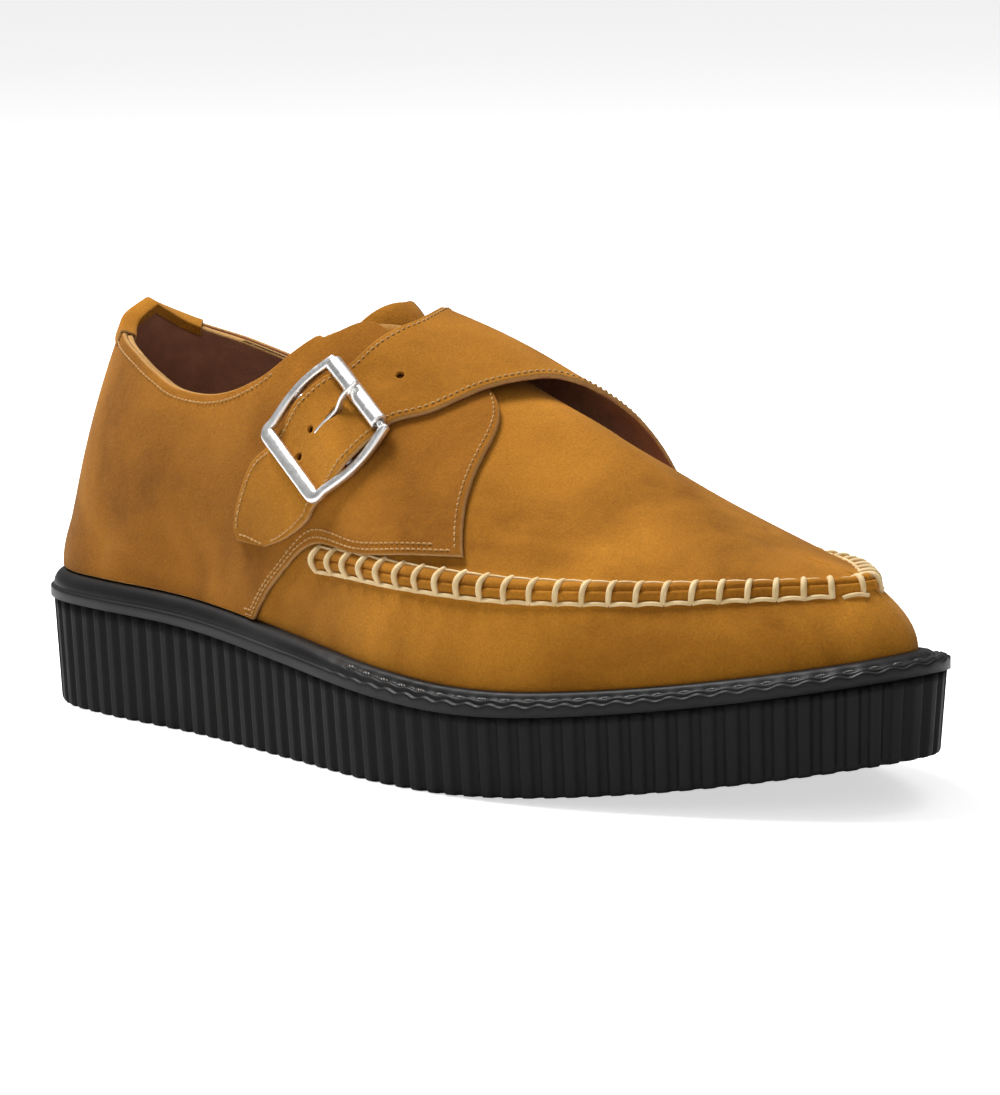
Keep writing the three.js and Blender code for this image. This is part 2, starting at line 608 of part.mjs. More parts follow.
// Tongue: under the vamp and the strap, its middle rising through the throat
function makeTongue() {
  const under = -UPPER_WALL - TONGUE_GAP;
  const columnWidth = (1 - SHOULDER_UP - ridgeHalf(THROAT)) / HIGH_STEPS;
  const grid = (depth) => spread(0, 1, TONGUE_STEPS).map((share) => (
    TONGUE_COLUMNS.map((across) => {
      const girth = across * columnWidth;
      const top = TONGUE_TOP - TONGUE_ROUNDING * Math.abs(girth);
      const along = THREE.MathUtils.lerp(top, TONGUE_END, share);
      const opening = (1 - collarUp(along)) * TONGUE_FILL;
      const free = opening > 0 ? Math.max(0, 1 - (girth / opening) ** 2) : 0;
      const rise = 1 - THREE.MathUtils.smoothstep(along, TONGUE_TOP, THROAT);
      const below = under - Math.abs(across % 1) * TONGUE_DIP - rise * TONGUE_EASE;
      return offLast(along, girth, THREE.MathUtils.lerp(below, TONGUE_RISE, free * rise) - depth);
    })));
  return piece('tongue', slab(grid(PANEL_THICKNESS), grid(0)), 0xa66d26, 0.95, 0);
}

// Outer quarter: from the back seam to its free wing, which lies under the buckle
function makeOuterQuarter() {
  const at = (name, row) => column(OUTER_QUARTER, 'row', name, row);
  const grid = (outwards) => spread(0, 1, QUARTER_STEPS).map((row) => {
    const topAlong = at('topAlong', row);
    const lowAlong = at('lowAlong', row);
    const top = Math.min(at('top', row), collarUp(topAlong));
    const low = Math.max(at('low', row), weltUp(lowAlong, FIT_GAP));
    return spread(0, 1, PANEL_CELLS).map((share) => {
      const bow = at('bow', row) * BOW_SCALE * share * (1 - share) ** BOW_POWER;
      const along = THREE.MathUtils.lerp(topAlong, lowAlong, share) + bow;
      return offLast(along, THREE.MathUtils.lerp(top, low, share) - 1, outwards);
    });
  });
  return slab(grid(PANEL_GAP + PANEL_THICKNESS), grid(PANEL_GAP));
}

// Inner quarter and strap: one panel from the back seam over the instep to the strap's tip
function makeStrap() {
  const at = (name, row) => column(STRAP, 'row', name, row);
  const grid = (outwards) => spread(0, 1, STRAP_STEPS).map((row) => {
    const rearAlong = at('rearAlong', row);
    const frontAlong = at('frontAlong', row);
    const rearGirth = row < STRAP_LEAVE ? 1 - collarUp(rearAlong) : at('rearGirth', row);
    const frontGirth = Math.min(at('frontGirth', row), 1 - weltUp(frontAlong, FIT_GAP));
    return spread(0, 1, STRAP_CELLS).map((share) => {
      const of = (name) => column(STRAP_LIFT, 'row', name, row);
      const arch = of('crown') * Math.sin(Math.PI * share);
      const lift = (THREE.MathUtils.lerp(of('rear'), of('front'), share) + arch) * PANEL_THICKNESS;
      return offLast(
        THREE.MathUtils.lerp(rearAlong, frontAlong, share),
        THREE.MathUtils.lerp(rearGirth, frontGirth, share),
        PANEL_GAP + Math.max(lift, 0) + outwards,
      );
    });
  });
  return slab(grid(0), grid(PANEL_THICKNESS));
}

// Heel tab: a strip folded over the collar's edge at the back seam
function makeHeelTab() {
  const outside = PANEL_GAP + PANEL_THICKNESS + FIT_GAP;
  const inside = -UPPER_WALL - FIT_GAP;
  const section = (along) => {
    const at = (climb, outwards) => {
      const up = collarUp(Math.abs(along)) + climb / sectionHeight(0);
      return offLast(along, up - 1, outwards);
    };
    return [
      at(-TAB_DROP_OUTSIDE, outside),
      at(-TAB_DROP_OUTSIDE, outside + TAB_THICKNESS),
      at(FIT_GAP, outside + TAB_THICKNESS),
      at(FIT_GAP + TAB_THICKNESS, outside),
      at(FIT_GAP + TAB_THICKNESS, inside),
      at(FIT_GAP, inside - TAB_THICKNESS),
      at(-TAB_DROP_INSIDE, inside - TAB_THICKNESS),
      at(-TAB_DROP_INSIDE, inside),
      at(FIT_GAP, inside),
      at(FIT_GAP, outside),
    ];
  };
  const rows = spread(-TAB_REACH, TAB_REACH, TAB_STEPS).map(section);
  const faces = new Faces();
  rows.slice(1).forEach((row, i) => faces.ring(row, rows[i]));
  // Cap pairs down the two legs and along the bend between them
  const caps = [[0, 1, 2, 9], [9, 2, 3, 3], [9, 3, 4, 8], [8, 4, 5, 5], [8, 5, 6, 7]];
  caps.forEach(([a, b, c, d]) => {
    const first = rows[0];
    const last = rows[rows.length - 1];
    faces.quad(first[a], first[b], first[c], first[d]);
    faces.quad(last[d], last[c], last[b], last[a]);
  });
  return piece('heel_tab', faces.geometry(), 0xb87c30, 0.95, 0);
}

// The buckle's own axes: x from the end bar to the roller, y across, z off the last
function buckleAxes() {
  const { rollerRear, rollerFront, barFront, barRear } = BUCKLE_CORNERS;
  const [a, b, c, d] = [rollerRear, rollerFront, barFront, barRear].map((at) => lastSkin(at.along, at.girth));
  const middle = a.clone().add(b).add(c).add(d).divideScalar(4);
  const run = a.clone().add(b).sub(c).sub(d).normalize();
  const across = b.clone().add(c).sub(a).sub(d);
  const off = across.cross(run).normalize();
  return new THREE.Matrix4().makeBasis(run, off.clone().cross(run), off).setPosition(middle);
}

function solidOf(geometry) {
  const bare = new THREE.BufferGeometry();
  const flat = geometry.index ? geometry.toNonIndexed() : geometry;
  bare.setAttribute('position', flat.getAttribute('position').clone());
  const welded = mergeVertices(bare, WELD);
  return new wasm.Manifold(new wasm.Mesh({
    numProp: 3,
    vertProperties: Float32Array.from(welded.getAttribute('position').array),
    triVerts: Uint32Array.from(welded.index.array),
  }));
}

function geometryOf(solid) {
  const mesh = solid.getMesh();
  const made = new THREE.BufferGeometry();
  made.setAttribute('position', new THREE.BufferAttribute(Float32Array.from(mesh.vertProperties), 3));
  made.setIndex(Array.from(mesh.triVerts));
  return made;
}

// A bar along the buckle's width
function acrossBar(geometry, along, height) {
  return geometry.translate(along, 0, height);
}

const ROLLER_PLACE = BUCKLE_LENGTH / 2 - ROLLER_RADIUS;
const CHEEK_START = ROLLER_PLACE - ROLLER_RADIUS - FIT_GAP;

// Frame: an open plate of end bar and side bars, joined by the roller's rod and a centre bar
function makeFrame() {
  const half = BUCKLE_WIDTH / 2;
  const end = -BUCKLE_LENGTH / 2;
  const inside = end + END_BAR_WIDTH;
  const tip = ROLLER_PLACE + ROD_RADIUS + PLATE_THICKNESS / 4;
  const plan = new THREE.Shape();
  plan.moveTo(end + CORNER_RADIUS, -half);
  plan.lineTo(tip - CHEEK_WIDTH, -half);
  plan.quadraticCurveTo(tip, -half, tip, CHEEK_WIDTH - half);
  plan.lineTo(CHEEK_START, CHEEK_WIDTH - half);
  plan.lineTo(CHEEK_START, SIDE_BAR_WIDTH - half);
  plan.lineTo(inside + INNER_RADIUS, SIDE_BAR_WIDTH - half);
  plan.quadraticCurveTo(inside, SIDE_BAR_WIDTH - half, inside, SIDE_BAR_WIDTH + INNER_RADIUS - half);
  plan.lineTo(inside, half - SIDE_BAR_WIDTH - INNER_RADIUS);
  plan.quadraticCurveTo(inside, half - SIDE_BAR_WIDTH, inside + INNER_RADIUS, half - SIDE_BAR_WIDTH);
  plan.lineTo(CHEEK_START, half - SIDE_BAR_WIDTH);
  plan.lineTo(CHEEK_START, half - CHEEK_WIDTH);
  plan.lineTo(tip, half - CHEEK_WIDTH);
  plan.quadraticCurveTo(tip, half, tip - CHEEK_WIDTH, half);
  plan.lineTo(end + CORNER_RADIUS, half);
  plan.quadraticCurveTo(end, half, end, half - CORNER_RADIUS);
  plan.lineTo(end, CORNER_RADIUS - half);
  plan.quadraticCurveTo(end, -half, end + CORNER_RADIUS, -half);
  const plate = new THREE.ExtrudeGeometry(plan, {
    depth: PLATE_THICKNESS, bevelEnabled: false, curveSegments: CORNER_STEPS,
  }).translate(0, 0, PLATE_LOW);
  const rod = new THREE.CylinderGeometry(ROD_RADIUS, ROD_RADIUS, BUCKLE_WIDTH - CHEEK_WIDTH, ROUND_STEPS);
  const bar = new THREE.BoxGeometry(CENTRE_BAR_WIDTH, BUCKLE_WIDTH - SIDE_BAR_WIDTH, CENTRE_BAR_THICKNESS);
  const whole = solidOf(plate)
    .add(solidOf(acrossBar(rod, ROLLER_PLACE, ROLLER_HEIGHT)))
    .add(solidOf(acrossBar(bar, 0, CENTRE_BAR_LOW + CENTRE_BAR_THICKNESS / 2)));
  return piece('buckle_frame', geometryOf(whole).applyMatrix4(buckleAxes()), 0xd8d8d8, 0.2, 1);
}

// Roller: a tube that turns on the frame's rod
function makeRoller() {
  const half = BUCKLE_WIDTH / 2 - CHEEK_WIDTH - FIT_GAP;
  const profile = [
    [ROLLER_BORE, -half],
    [ROLLER_RADIUS, -half],
    [ROLLER_RADIUS, half],
    [ROLLER_BORE, half],
    [ROLLER_BORE, -half],
  ].map(([radius, place]) => new THREE.Vector2(radius, place));
  const tube = acrossBar(new THREE.LatheGeometry(profile, ROUND_STEPS), ROLLER_PLACE, ROLLER_HEIGHT);
  return piece('buckle_roller', geometryOf(solidOf(tube)).applyMatrix4(buckleAxes()), 0xe2e2e2, 0.15, 1);
}

// The prong's side view, from its hook on the centre bar to its tip on the roller, as a
// solid swept across. grow widens it on every side.
function prongSolid(fromHook, grow) {
  const barTop = CENTRE_BAR_LOW + CENTRE_BAR_THICKNESS;
  const hook = CENTRE_BAR_WIDTH / 2 + FIT_GAP + PRONG_THICKNESS / 2;
  const over = barTop + FIT_GAP + PRONG_THICKNESS / 2;
  const rest = ROLLER_HEIGHT + ROLLER_RADIUS + FIT_GAP + PRONG_THICKNESS / 2;
  const bend = [[-hook, CENTRE_BAR_LOW + FIT_GAP], [-hook, barTop], [PRONG_THICKNESS / 2 - hook, over]];
  const rise = [[hook, over], [2 * hook, over + FIT_GAP], [CHEEK_START, rest - FIT_GAP]];
  const end = [[ROLLER_PLACE, rest], [ROLLER_PLACE + ROLLER_RADIUS + grow, rest - FIT_GAP]];
  const path = [...(fromHook ? bend : []), ...rise, ...end].map(([x, z]) => new THREE.Vector2(x, z));
  const offset = (i, side) => {
    const before = path[Math.max(i - 1, 0)];
    const after = path[Math.min(i + 1, path.length - 1)];
    const run = after.clone().sub(before).normalize();
    const out = new THREE.Vector2(-run.y, run.x).multiplyScalar(side * (PRONG_THICKNESS / 2 + grow));
    return path[i].clone().add(out);
  };
  const upper = path.map((unused, i) => offset(i, 1));
  const lower = path.map((unused, i) => offset(i, -1)).reverse();
  const wide = PRONG_WIDTH + 2 * grow;
  const profile = new THREE.Shape([...upper, ...lower]);
  const swept = new THREE.ExtrudeGeometry(profile, { depth: wide, bevelEnabled: false });
  return solidOf(swept.translate(0, 0, -wide / 2).rotateX(Math.PI / 2));
}

function makeProng() {
  return piece('buckle_prong', geometryOf(prongSolid(true, 0)).applyMatrix4(buckleAxes()), 0xd8d8d8, 0.2, 1);
}

// The strap with its punched holes, and the slot that the prong comes through
function makeMedialQuarter() {
  const axes = buckleAxes();
  const punch = (at) => {
    const place = offLast(at.along, at.girth, 0);
    const out = offLast(at.along, at.girth, 1).sub(place);
    const turn = new THREE.Quaternion().setFromUnitVectors(new THREE.Vector3(0, 1, 0), out);
    const drill = new THREE.CylinderGeometry(HOLE_RADIUS, HOLE_RADIUS, HOLE_DEPTH, ROUND_STEPS);
    return solidOf(drill.applyQuaternion(turn).translate(place.x, place.y, place.z));
  };
  const slot = solidOf(geometryOf(prongSolid(false, FIT_GAP)).applyMatrix4(axes));
  const cut = STRAP_HOLES.reduce((left, at) => left.subtract(punch(at)), solidOf(makeStrap()).subtract(slot));
  return piece('medial_quarter_strap', geometryOf(cut), 0xb87c30, 0.95, 0);
}

const shoe = new THREE.Group();
shoe.add(makeSole(), makeUpper(), makeWelt(), makeInsole(), makeTongue());
shoe.add(piece('lateral_quarter', makeOuterQuarter(), 0xb0752a, 0.95, 0));
shoe.add(makeMedialQuarter(), makeHeelTab(), makeFrame(), makeRoller(), makeProng());
export default shoe;
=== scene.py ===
"""Creeper shoe with a buckled strap, for the right foot.

Metres. The toe points along +X, the inner side is +Y and up is +Z. The origin is on the
floor, under the middle of the sole's length. along is a share of the outline from heel to
toe; girth runs over the last from -1, the outer lower edge, to 1, the inner lower edge.
"""
import math

import bmesh
import bpy
import numpy as np
from mathutils import Matrix, Vector


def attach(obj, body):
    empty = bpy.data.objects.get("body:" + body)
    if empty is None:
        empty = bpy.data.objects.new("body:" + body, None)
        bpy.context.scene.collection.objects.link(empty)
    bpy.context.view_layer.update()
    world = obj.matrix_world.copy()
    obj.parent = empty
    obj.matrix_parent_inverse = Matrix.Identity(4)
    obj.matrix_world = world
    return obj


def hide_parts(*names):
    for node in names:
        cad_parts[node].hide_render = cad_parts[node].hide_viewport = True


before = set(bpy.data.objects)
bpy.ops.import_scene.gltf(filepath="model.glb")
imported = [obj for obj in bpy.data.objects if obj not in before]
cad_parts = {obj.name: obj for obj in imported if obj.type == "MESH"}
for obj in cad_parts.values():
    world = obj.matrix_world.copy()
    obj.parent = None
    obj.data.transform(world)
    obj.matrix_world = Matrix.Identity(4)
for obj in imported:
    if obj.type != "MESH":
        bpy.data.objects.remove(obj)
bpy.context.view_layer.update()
for spare in ("Cube", "Light", "Camera"):
    if spare in bpy.data.objects:
        bpy.data.objects.remove(bpy.data.objects[spare])

# Sole
# The real piece is one block of hard black rubber, moulded with a flat underside, a sprung
# toe and a wall of upright ribs. Everything else is built up on its outline.
MM = 0.001
LENGTH = 0.300
BALL_WIDTH = 0.112
HEEL_WALL = 0.030
BALL_WALL = 0.021
WALL_FALL_START = -0.100
WALL_FALL_END = 0.070
TOE_SPRING = 0.014
SPRING_START = 0.030
SPRING_POWER = 1.8
SIDE_TAPER = 1.6 * MM
BOTTOM_ROUNDING = 1.4 * MM
RIB_PITCH = 6.1 * MM
RIB_DEPTH = 1.25 * MM
RIB_CREST_SHARE = 0.4
RIB_FLANK_SHARE = 0.17
RIB_STEPS = 12
CORNER_STEPS = 5
WALL_STEPS = 9
CAP_STEPS = 9
CAP_INSET = 5 * MM
OUTLINE_STEPS = 200
WELD = 0.002 * MM
OUTLINE = {
    "along": (-0.487, -0.447, -0.373, -0.233, -0.083, 0.060, 0.183, 0.300, 0.383, 0.450, 0.488),
    "outer": (0.165, 0.255, 0.305, 0.348, 0.436, 0.516, 0.511, 0.408, 0.293, 0.170, 0.065),
    "inner": (0.165, 0.275, 0.335, 0.335, 0.338, 0.403, 0.475, 0.462, 0.380, 0.255, 0.150),
}
TOE_POINT_SIDE = 0.062
RUBBER = (0.0048, 0.0045, 0.0044)


def ease(value, low, high):
    """0 below low, 1 above high and a soft step between"""
    share = np.clip((value - low) / (high - low), 0, 1)
    return share * share * (3 - 2 * share)


def closed_curve(points, steps):
    """A smooth closed curve through points, in equal steps between each two"""
    before, after, beyond = (np.roll(points, shift, 0) for shift in (1, -1, -2))
    reach = [np.sqrt(np.linalg.norm(b - a, axis=1, keepdims=True))
             for a, b in ((before, points), (points, after), (after, beyond))]
    leave = ((points - before) / reach[0] - (after - before) / (reach[0] + reach[1])) * reach[1]
    leave += after - points
    arrive = ((beyond - after) / reach[2] - (beyond - points) / (reach[1] + reach[2])) * reach[1]
    arrive += after - points
    t = (np.arange(steps) / steps)[:, None, None]
    curve = points + leave * t + (3 * (after - points) - 2 * leave - arrive) * t ** 2
    curve = curve + (2 * (points - after) + leave + arrive) * t ** 3
    return curve.transpose(1, 0, 2).reshape(-1, 2)


outline_points = np.array(
    [(-LENGTH / 2, 0)]
    + [(x * LENGTH, -y * BALL_WIDTH) for x, y in zip(OUTLINE["along"], OUTLINE["outer"])]
    + [(LENGTH / 2, TOE_POINT_SIDE * BALL_WIDTH)]
    + [(x * LENGTH, y * BALL_WIDTH) for x, y in zip(OUTLINE["along"], OUTLINE["inner"])][::-1])
round_line = closed_curve(outline_points, OUTLINE_STEPS)
round_run = np.roll(round_line, -1, 0) - np.roll(round_line, 1, 0)
round_run /= np.linalg.norm(round_run, axis=1, keepdims=True)
round_line, round_run = (np.vstack([row, row[:1]]) for row in (round_line, round_run))
round_place = np.concatenate([[0], np.cumsum(np.linalg.norm(np.diff(round_line, axis=0), axis=1))])
PERIMETER = round_place[-1]
TOE_SHARE = round_place[len(round_place) // 2] / PERIMETER


def round_point(share, outwards):
    """A point of the outline at a share of the whole round, moved outwards"""
    place = np.mod(share, 1) * PERIMETER
    x, y = (np.interp(place, round_place, round_line[:, k]) for k in (0, 1))
    run_x, run_y = (np.interp(place, round_place, round_run[:, k]) for k in (0, 1))
    return np.stack([x + run_y * outwards, y - run_x * outwards], -1)


def edge_point(side, along, outwards):
    """The same at a share of one side, from the heel to the toe; side is -1 outer, 1 inner"""
    return round_point(np.where(side < 0, along * TOE_SHARE, 1 - along * (1 - TOE_SHARE)), outwards)


def floor_lift(x):
    return TOE_SPRING * (np.maximum(x - SPRING_START, 0) / (LENGTH / 2 - SPRING_START)) ** SPRING_POWER


def heel_to_ball(x):
    return ease(x, WALL_FALL_START, WALL_FALL_END)


def sole_top(x):
    return HEEL_WALL + (BALL_WALL - HEEL_WALL) * heel_to_ball(x) + floor_lift(x)


def with_height(flat, height):
    return np.concatenate([flat, np.broadcast_to(height, flat.shape[:-1])[..., None]], -1)


def solid(name, patches, facts=None):
    """A closed mesh from grids of points that meet at their edges. facts are named values
    of each point, one list of grids for each name."""
    points = np.concatenate([patch.reshape(-1, 3) for patch in patches])
    cells, start = [], 0
    for patch in patches:
        rows, columns = patch.shape[:2]
        at = start + np.arange(rows * columns).reshape(rows, columns)
        cells.append(np.stack([at[:-1, :-1], at[:-1, 1:], at[1:, 1:], at[1:, :-1]], -1).reshape(-1, 4))
        start += rows * columns
    cells = np.concatenate(cells)
    mesh = bpy.data.meshes.new(name)
    mesh.from_pydata(points.tolist(), [], cells.tolist())
    for fact, grids in (facts or {}).items():
        values = np.concatenate([np.asarray(grid, float).reshape(len(patch.reshape(-1, 3)), -1)
                                 for grid, patch in zip(grids, patches)])
        vector = values.shape[1] == 3
        layer = mesh.attributes.new(fact, "FLOAT_VECTOR" if vector else "FLOAT", "POINT")
        layer.data.foreach_set("vector" if vector else "value", values.ravel())
    work = bmesh.new()
    work.from_mesh(mesh)
    bmesh.ops.remove_doubles(work, verts=work.verts, dist=WELD)
    bmesh.ops.dissolve_degenerate(work, edges=work.edges, dist=WELD / 4)
    bmesh.ops.recalc_face_normals(work, faces=work.faces)
    work.to_mesh(mesh)
    work.free()
    mesh.shade_smooth()
    piece = bpy.data.objects.new(name, mesh)
    bpy.context.scene.collection.objects.link(piece)
    return piece


def node_adder(tree):
    """A function that adds a node to a tree. An input is named by its words, or by an
    underscore and its number, and takes a value or another node's output."""
    def node(kind, settings=None, **inputs):
        made = tree.nodes.new(kind)
        for key, value in (settings or {}).items():
            setattr(made, key, value)
        for key, value in inputs.items():
            socket = made.inputs[int(key[1:]) if key[1:].isdigit() else key.replace("_", " ")]
            if isinstance(value, bpy.types.NodeSocket):
                tree.links.new(value, socket)
            else:
                socket.default_value = value
        return made

    return node


def new_material(name):
    """A named material with its shader, and functions that add and join nodes"""
    material = bpy.data.materials.new(name)
    material.use_nodes = True
    tree = material.node_tree
    return material, tree.nodes["Principled BSDF"], node_adder(tree), tree.links.new


def ranged(node, value, low, high, new_low=0.0, new_high=1.0):
    """A value's range made into another one, held at both its ends"""
    made = node("ShaderNodeMapRange", _0=value, _1=low, _2=high, _3=new_low, _4=new_high)
    return made.outputs[0]


def mixed(node, factor, first, second, blend="MIX"):
    """Two colours mixed by a factor"""
    made = node("ShaderNodeMix", {"data_type": "RGBA", "blend_type": blend},
                _0=factor, _6=first, _7=second)
    return made.outputs[2]


def shade(colour, *factors):
    """A colour made darker or lighter, all of it by one factor or each part by its own"""
    factors = factors * len(colour) if len(factors) == 1 else factors
    return (*(part * factor for part, factor in zip(colour, factors)), 1)


def rubber(name, colour, roughness, grain):
    """Moulded rubber: a dull skin with fine grain and a dusty bloom in places"""
    material, shader, node, join = new_material(name)
    place = node("ShaderNodeTexCoord").outputs["Object"]
    bloom = node("ShaderNodeTexNoise", Vector=place, Scale=38.0, Detail=4.0).outputs[0]
    speck = node("ShaderNodeTexNoise", Vector=place, Scale=900.0, Detail=3.0).outputs[0]
    dusty = (*(part * 1.5 + 0.003 for part in colour), 1)
    tone = mixed(node, ranged(node, bloom, 0.42, 0.72), shade(colour, 1), dusty)
    join(tone, shader.inputs["Base Color"])
    dull = ranged(node, bloom, 0.3, 0.7, roughness - 0.06, roughness + 0.08)
    join(dull, shader.inputs["Roughness"])
    bump = node("ShaderNodeBump", Strength=0.5, Distance=grain, Height=speck)
    join(bump.outputs[0], shader.inputs["Normal"])
    shader.inputs["Specular IOR Level"].default_value = 0.2
    return material


def keep_result(piece):
    """Makes what a piece's modifiers give its own plain mesh"""
    bpy.context.view_layer.update()
    graph = bpy.context.evaluated_depsgraph_get()
    made = bpy.data.meshes.new_from_object(piece.evaluated_get(graph))
    piece.modifiers.clear()
    piece.data = made
    made.shade_smooth()


def apply_tree(piece, tree, **inputs):
    """Runs a node tree on a piece and keeps its result"""
    modifier = piece.modifiers.new(tree.name, "NODES")
    modifier.node_group = tree
    for item in tree.interface.items_tree:
        key = item.name.lower().replace(" ", "_")
        if item.in_out == "INPUT" and key in inputs:
            modifier[item.identifier] = inputs[key]
    keep_result(piece)


def new_tree(name, **sizes):
    """An empty node tree with a geometry input and output and named sizes"""
    tree = bpy.data.node_groups.new(name, "GeometryNodeTree")
    tree.interface.new_socket("Geometry", in_out="INPUT", socket_type="NodeSocketGeometry")
    tree.interface.new_socket("Geometry", in_out="OUTPUT", socket_type="NodeSocketGeometry")
    for label, value in sizes.items():
        kind = "Int" if isinstance(value, int) else "Float"
        socket = tree.interface.new_socket(
            label.replace("_", " ").capitalize(), in_out="INPUT", socket_type=f"NodeSocket{kind}")
        socket.default_value = value

    node = node_adder(tree)
    return tree, node, node("NodeGroupInput").outputs


def tree_words(node):
    """Two short words for a tree: maths is the result of a sum, named is a point's own fact"""
    def maths(operation, *values):
        numbered = {f"_{k}": value for k, value in enumerate(values)}
        return node("ShaderNodeMath", {"operation": operation}, **numbered).outputs[0]

    def named(fact, kind="FLOAT"):
        read = node("GeometryNodeInputNamedAttribute", {"data_type": kind}, Name=fact)
        return read.outputs["Attribute"]

    return maths, named


def end_tree(node, geometry, material):
    made = node("GeometryNodeRealizeInstances", Geometry=geometry)
    made = node("GeometryNodeSetMaterial", Geometry=made.outputs[0], Material=material)
    node("NodeGroupOutput", Geometry=made.outputs[0])


def rib_tree(material):
    """Presses upright grooves into a wall: each point moves in by how deep its place in
    the rib's pitch is, times the point's own rib_reach"""
    tree, node, sizes = new_tree("upright_ribs", ribs=100, depth=0.001, crest=0.4, flank=0.15)
    maths, named = tree_words(node)
    turn = maths("FRACT", maths("MULTIPLY", named("round_share"), sizes["Ribs"]))
    valley = maths("ADD", sizes["Crest"], sizes["Flank"])
    fall = node("ShaderNodeMapRange", {"interpolation_type": "SMOOTHSTEP"},
                _0=turn, _1=sizes["Crest"], _2=valley).outputs[0]
    climb = node("ShaderNodeMapRange", {"interpolation_type": "SMOOTHSTEP"},
                 _0=turn, _1=maths("SUBTRACT", 1.0, sizes["Flank"]), _2=1.0).outputs[0]
    share = maths("MULTIPLY", maths("SUBTRACT", fall, climb), named("rib_reach"))
    depth = maths("MULTIPLY", share, maths("MULTIPLY", sizes["Depth"], -1.0))
    move = node("ShaderNodeVectorMath", {"operation": "SCALE"},
                _0=named("outwards", "FLOAT_VECTOR"), Scale=depth).outputs[0]
    moved = node("GeometryNodeSetPosition", Geometry=sizes["Geometry"], Offset=move)
    end_tree(node, moved.outputs[0], material)
    return tree


rib_count = round(PERIMETER / RIB_PITCH)
round_share = np.linspace(0, 1, rib_count * RIB_STEPS + 1)
wall_rows = [(SIDE_TAPER + BOTTOM_ROUNDING * (1 - math.sin(turn)), BOTTOM_ROUNDING * (1 - math.cos(turn)))
             for turn in np.linspace(0, math.pi / 2, CORNER_STEPS)]


def sole_ring(inwards, height):
    """A closed line round the sole, inwards of its outline"""
    flat = round_point(round_share, -inwards)
    return with_height(flat, height(flat[:, 0]))


sole_wall = [sole_ring(inwards, lambda x, up=up: floor_lift(x) + up) for inwards, up in wall_rows]
foot, brim = sole_wall[-1], sole_ring(0, sole_top)
sole_wall += [foot + (brim - foot) * climb for climb in np.linspace(0, 1, WALL_STEPS)[1:]]
sole_wall = np.array(sole_wall)


def sole_cap(inwards, height, rim):
    """Closes the block: a band inside the rim, then straight across from side to side"""
    core = sole_ring(inwards, height)
    half = (len(core) + 1) // 2
    across = np.linspace(core[:half], core[::-1][:half], CAP_STEPS, axis=1)
    return np.array([rim, core]), across


sole_patches = [sole_wall, *sole_cap(SIDE_TAPER + BOTTOM_ROUNDING + CAP_INSET, floor_lift, sole_wall[0]),
                *sole_cap(CAP_INSET, sole_top, sole_wall[-1])]
outward = with_height(round_point(round_share, 1.0) - round_point(round_share, 0.0), 0.0)
rib_facts = {"round_share": [], "rib_reach": [], "outwards": []}
for patch in sole_patches:
    ribbed = patch.shape[1] == len(round_share)
    ribbed_rows = len(patch) if patch is sole_wall else int(ribbed)
    reach = np.zeros(patch.shape[:2])
    reach[:ribbed_rows] = 1
    rib_facts["rib_reach"].append(reach)
    rib_facts["round_share"].append(np.broadcast_to(round_share if ribbed else 0.0, reach.shape))
    rib_facts["outwards"].append(np.broadcast_to(outward if ribbed else 0.0, patch.shape))
sole_rubber = rubber("ribbed_sole_rubber", RUBBER, 0.62, 0.12 * MM)
sole = solid("sole_block", sole_patches, rib_facts)
apply_tree(sole, rib_tree(sole_rubber), ribs=rib_count, depth=RIB_DEPTH,
           crest=RIB_CREST_SHARE, flank=RIB_FLANK_SHARE)
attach(sole, "root")
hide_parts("sole")


# Upper
# The real piece is suede over a leather lining, lasted and sewn round a raised apron seam
# like a moccasin's. It is one hollow shell, open at the collar and closed by the insole.
INSTEP_HEIGHT = 0.114
APRON_HEIGHT = 0.056
UPPER_WALL = 1.7 * MM
FIT_GAP = 0.3 * MM
PANEL_GAP = 0.55 * MM
PANEL_THICKNESS = 1.4 * MM
SHOULDER_UP = 0.3
WELT_WIDTH_HEEL = 5.6 * MM
WELT_WIDTH_BALL = 6.4 * MM
WELT_WIDEN_TOE = 2.0 * MM
WIDEN_START = 0.090
WIDEN_END = 0.148
SKIN_STEP = 0.004
RIDGE = {
    "along": (0, 0.08, 0.16, 0.26, 0.36, 0.46, 0.56, 0.66, 0.76, 0.86, 1),
    "ridge": (-0.360, -0.345, -0.295, -0.225, -0.145, -0.060, 0.043, 0.138, 0.230, 0.310, 0.372),
    "side": (0.010, 0.010, 0.010, 0.010, 0.010, 0.010, 0.020, 0.030, 0.045, 0.055, 0.060),
    "top": (1.245, 1.245, 1.235, 1.205, 1.120, 1.000, 0.882, 0.782, 0.668, 0.568, 0.520),
}
SECTION = {
    "along": (0, 0.08, 0.16, 0.26, 0.36, 0.46, 0.56, 0.66, 0.76, 0.86, 1),
    "tuck": (0.014, 0.010, -0.004, -0.018, -0.015, 0.005, 0.020, 0.035, 0.055, 0.080, 0.105),
    "shoulder": (0.90, 0.90, 0.90, 0.92, 0.94, 0.98, 0.97, 0.96, 0.97, 0.99, 1.01),
    "swell": (0.010, 0.010, 0.010, 0.010, 0.014, 0.018, 0.022, 0.025, 0.028, 0.030, 0.020),
    "reach": (1.38, 1.35, 1.28, 1.20, 1.00, 1.10, 1.40, 1.60, 1.70, 1.60, 1.20),
    "rise": (1.90, 1.70, 1.30, 1.05, 1.05, 1.20, 1.45, 1.60, 1.70, 1.60, 1.20),
}
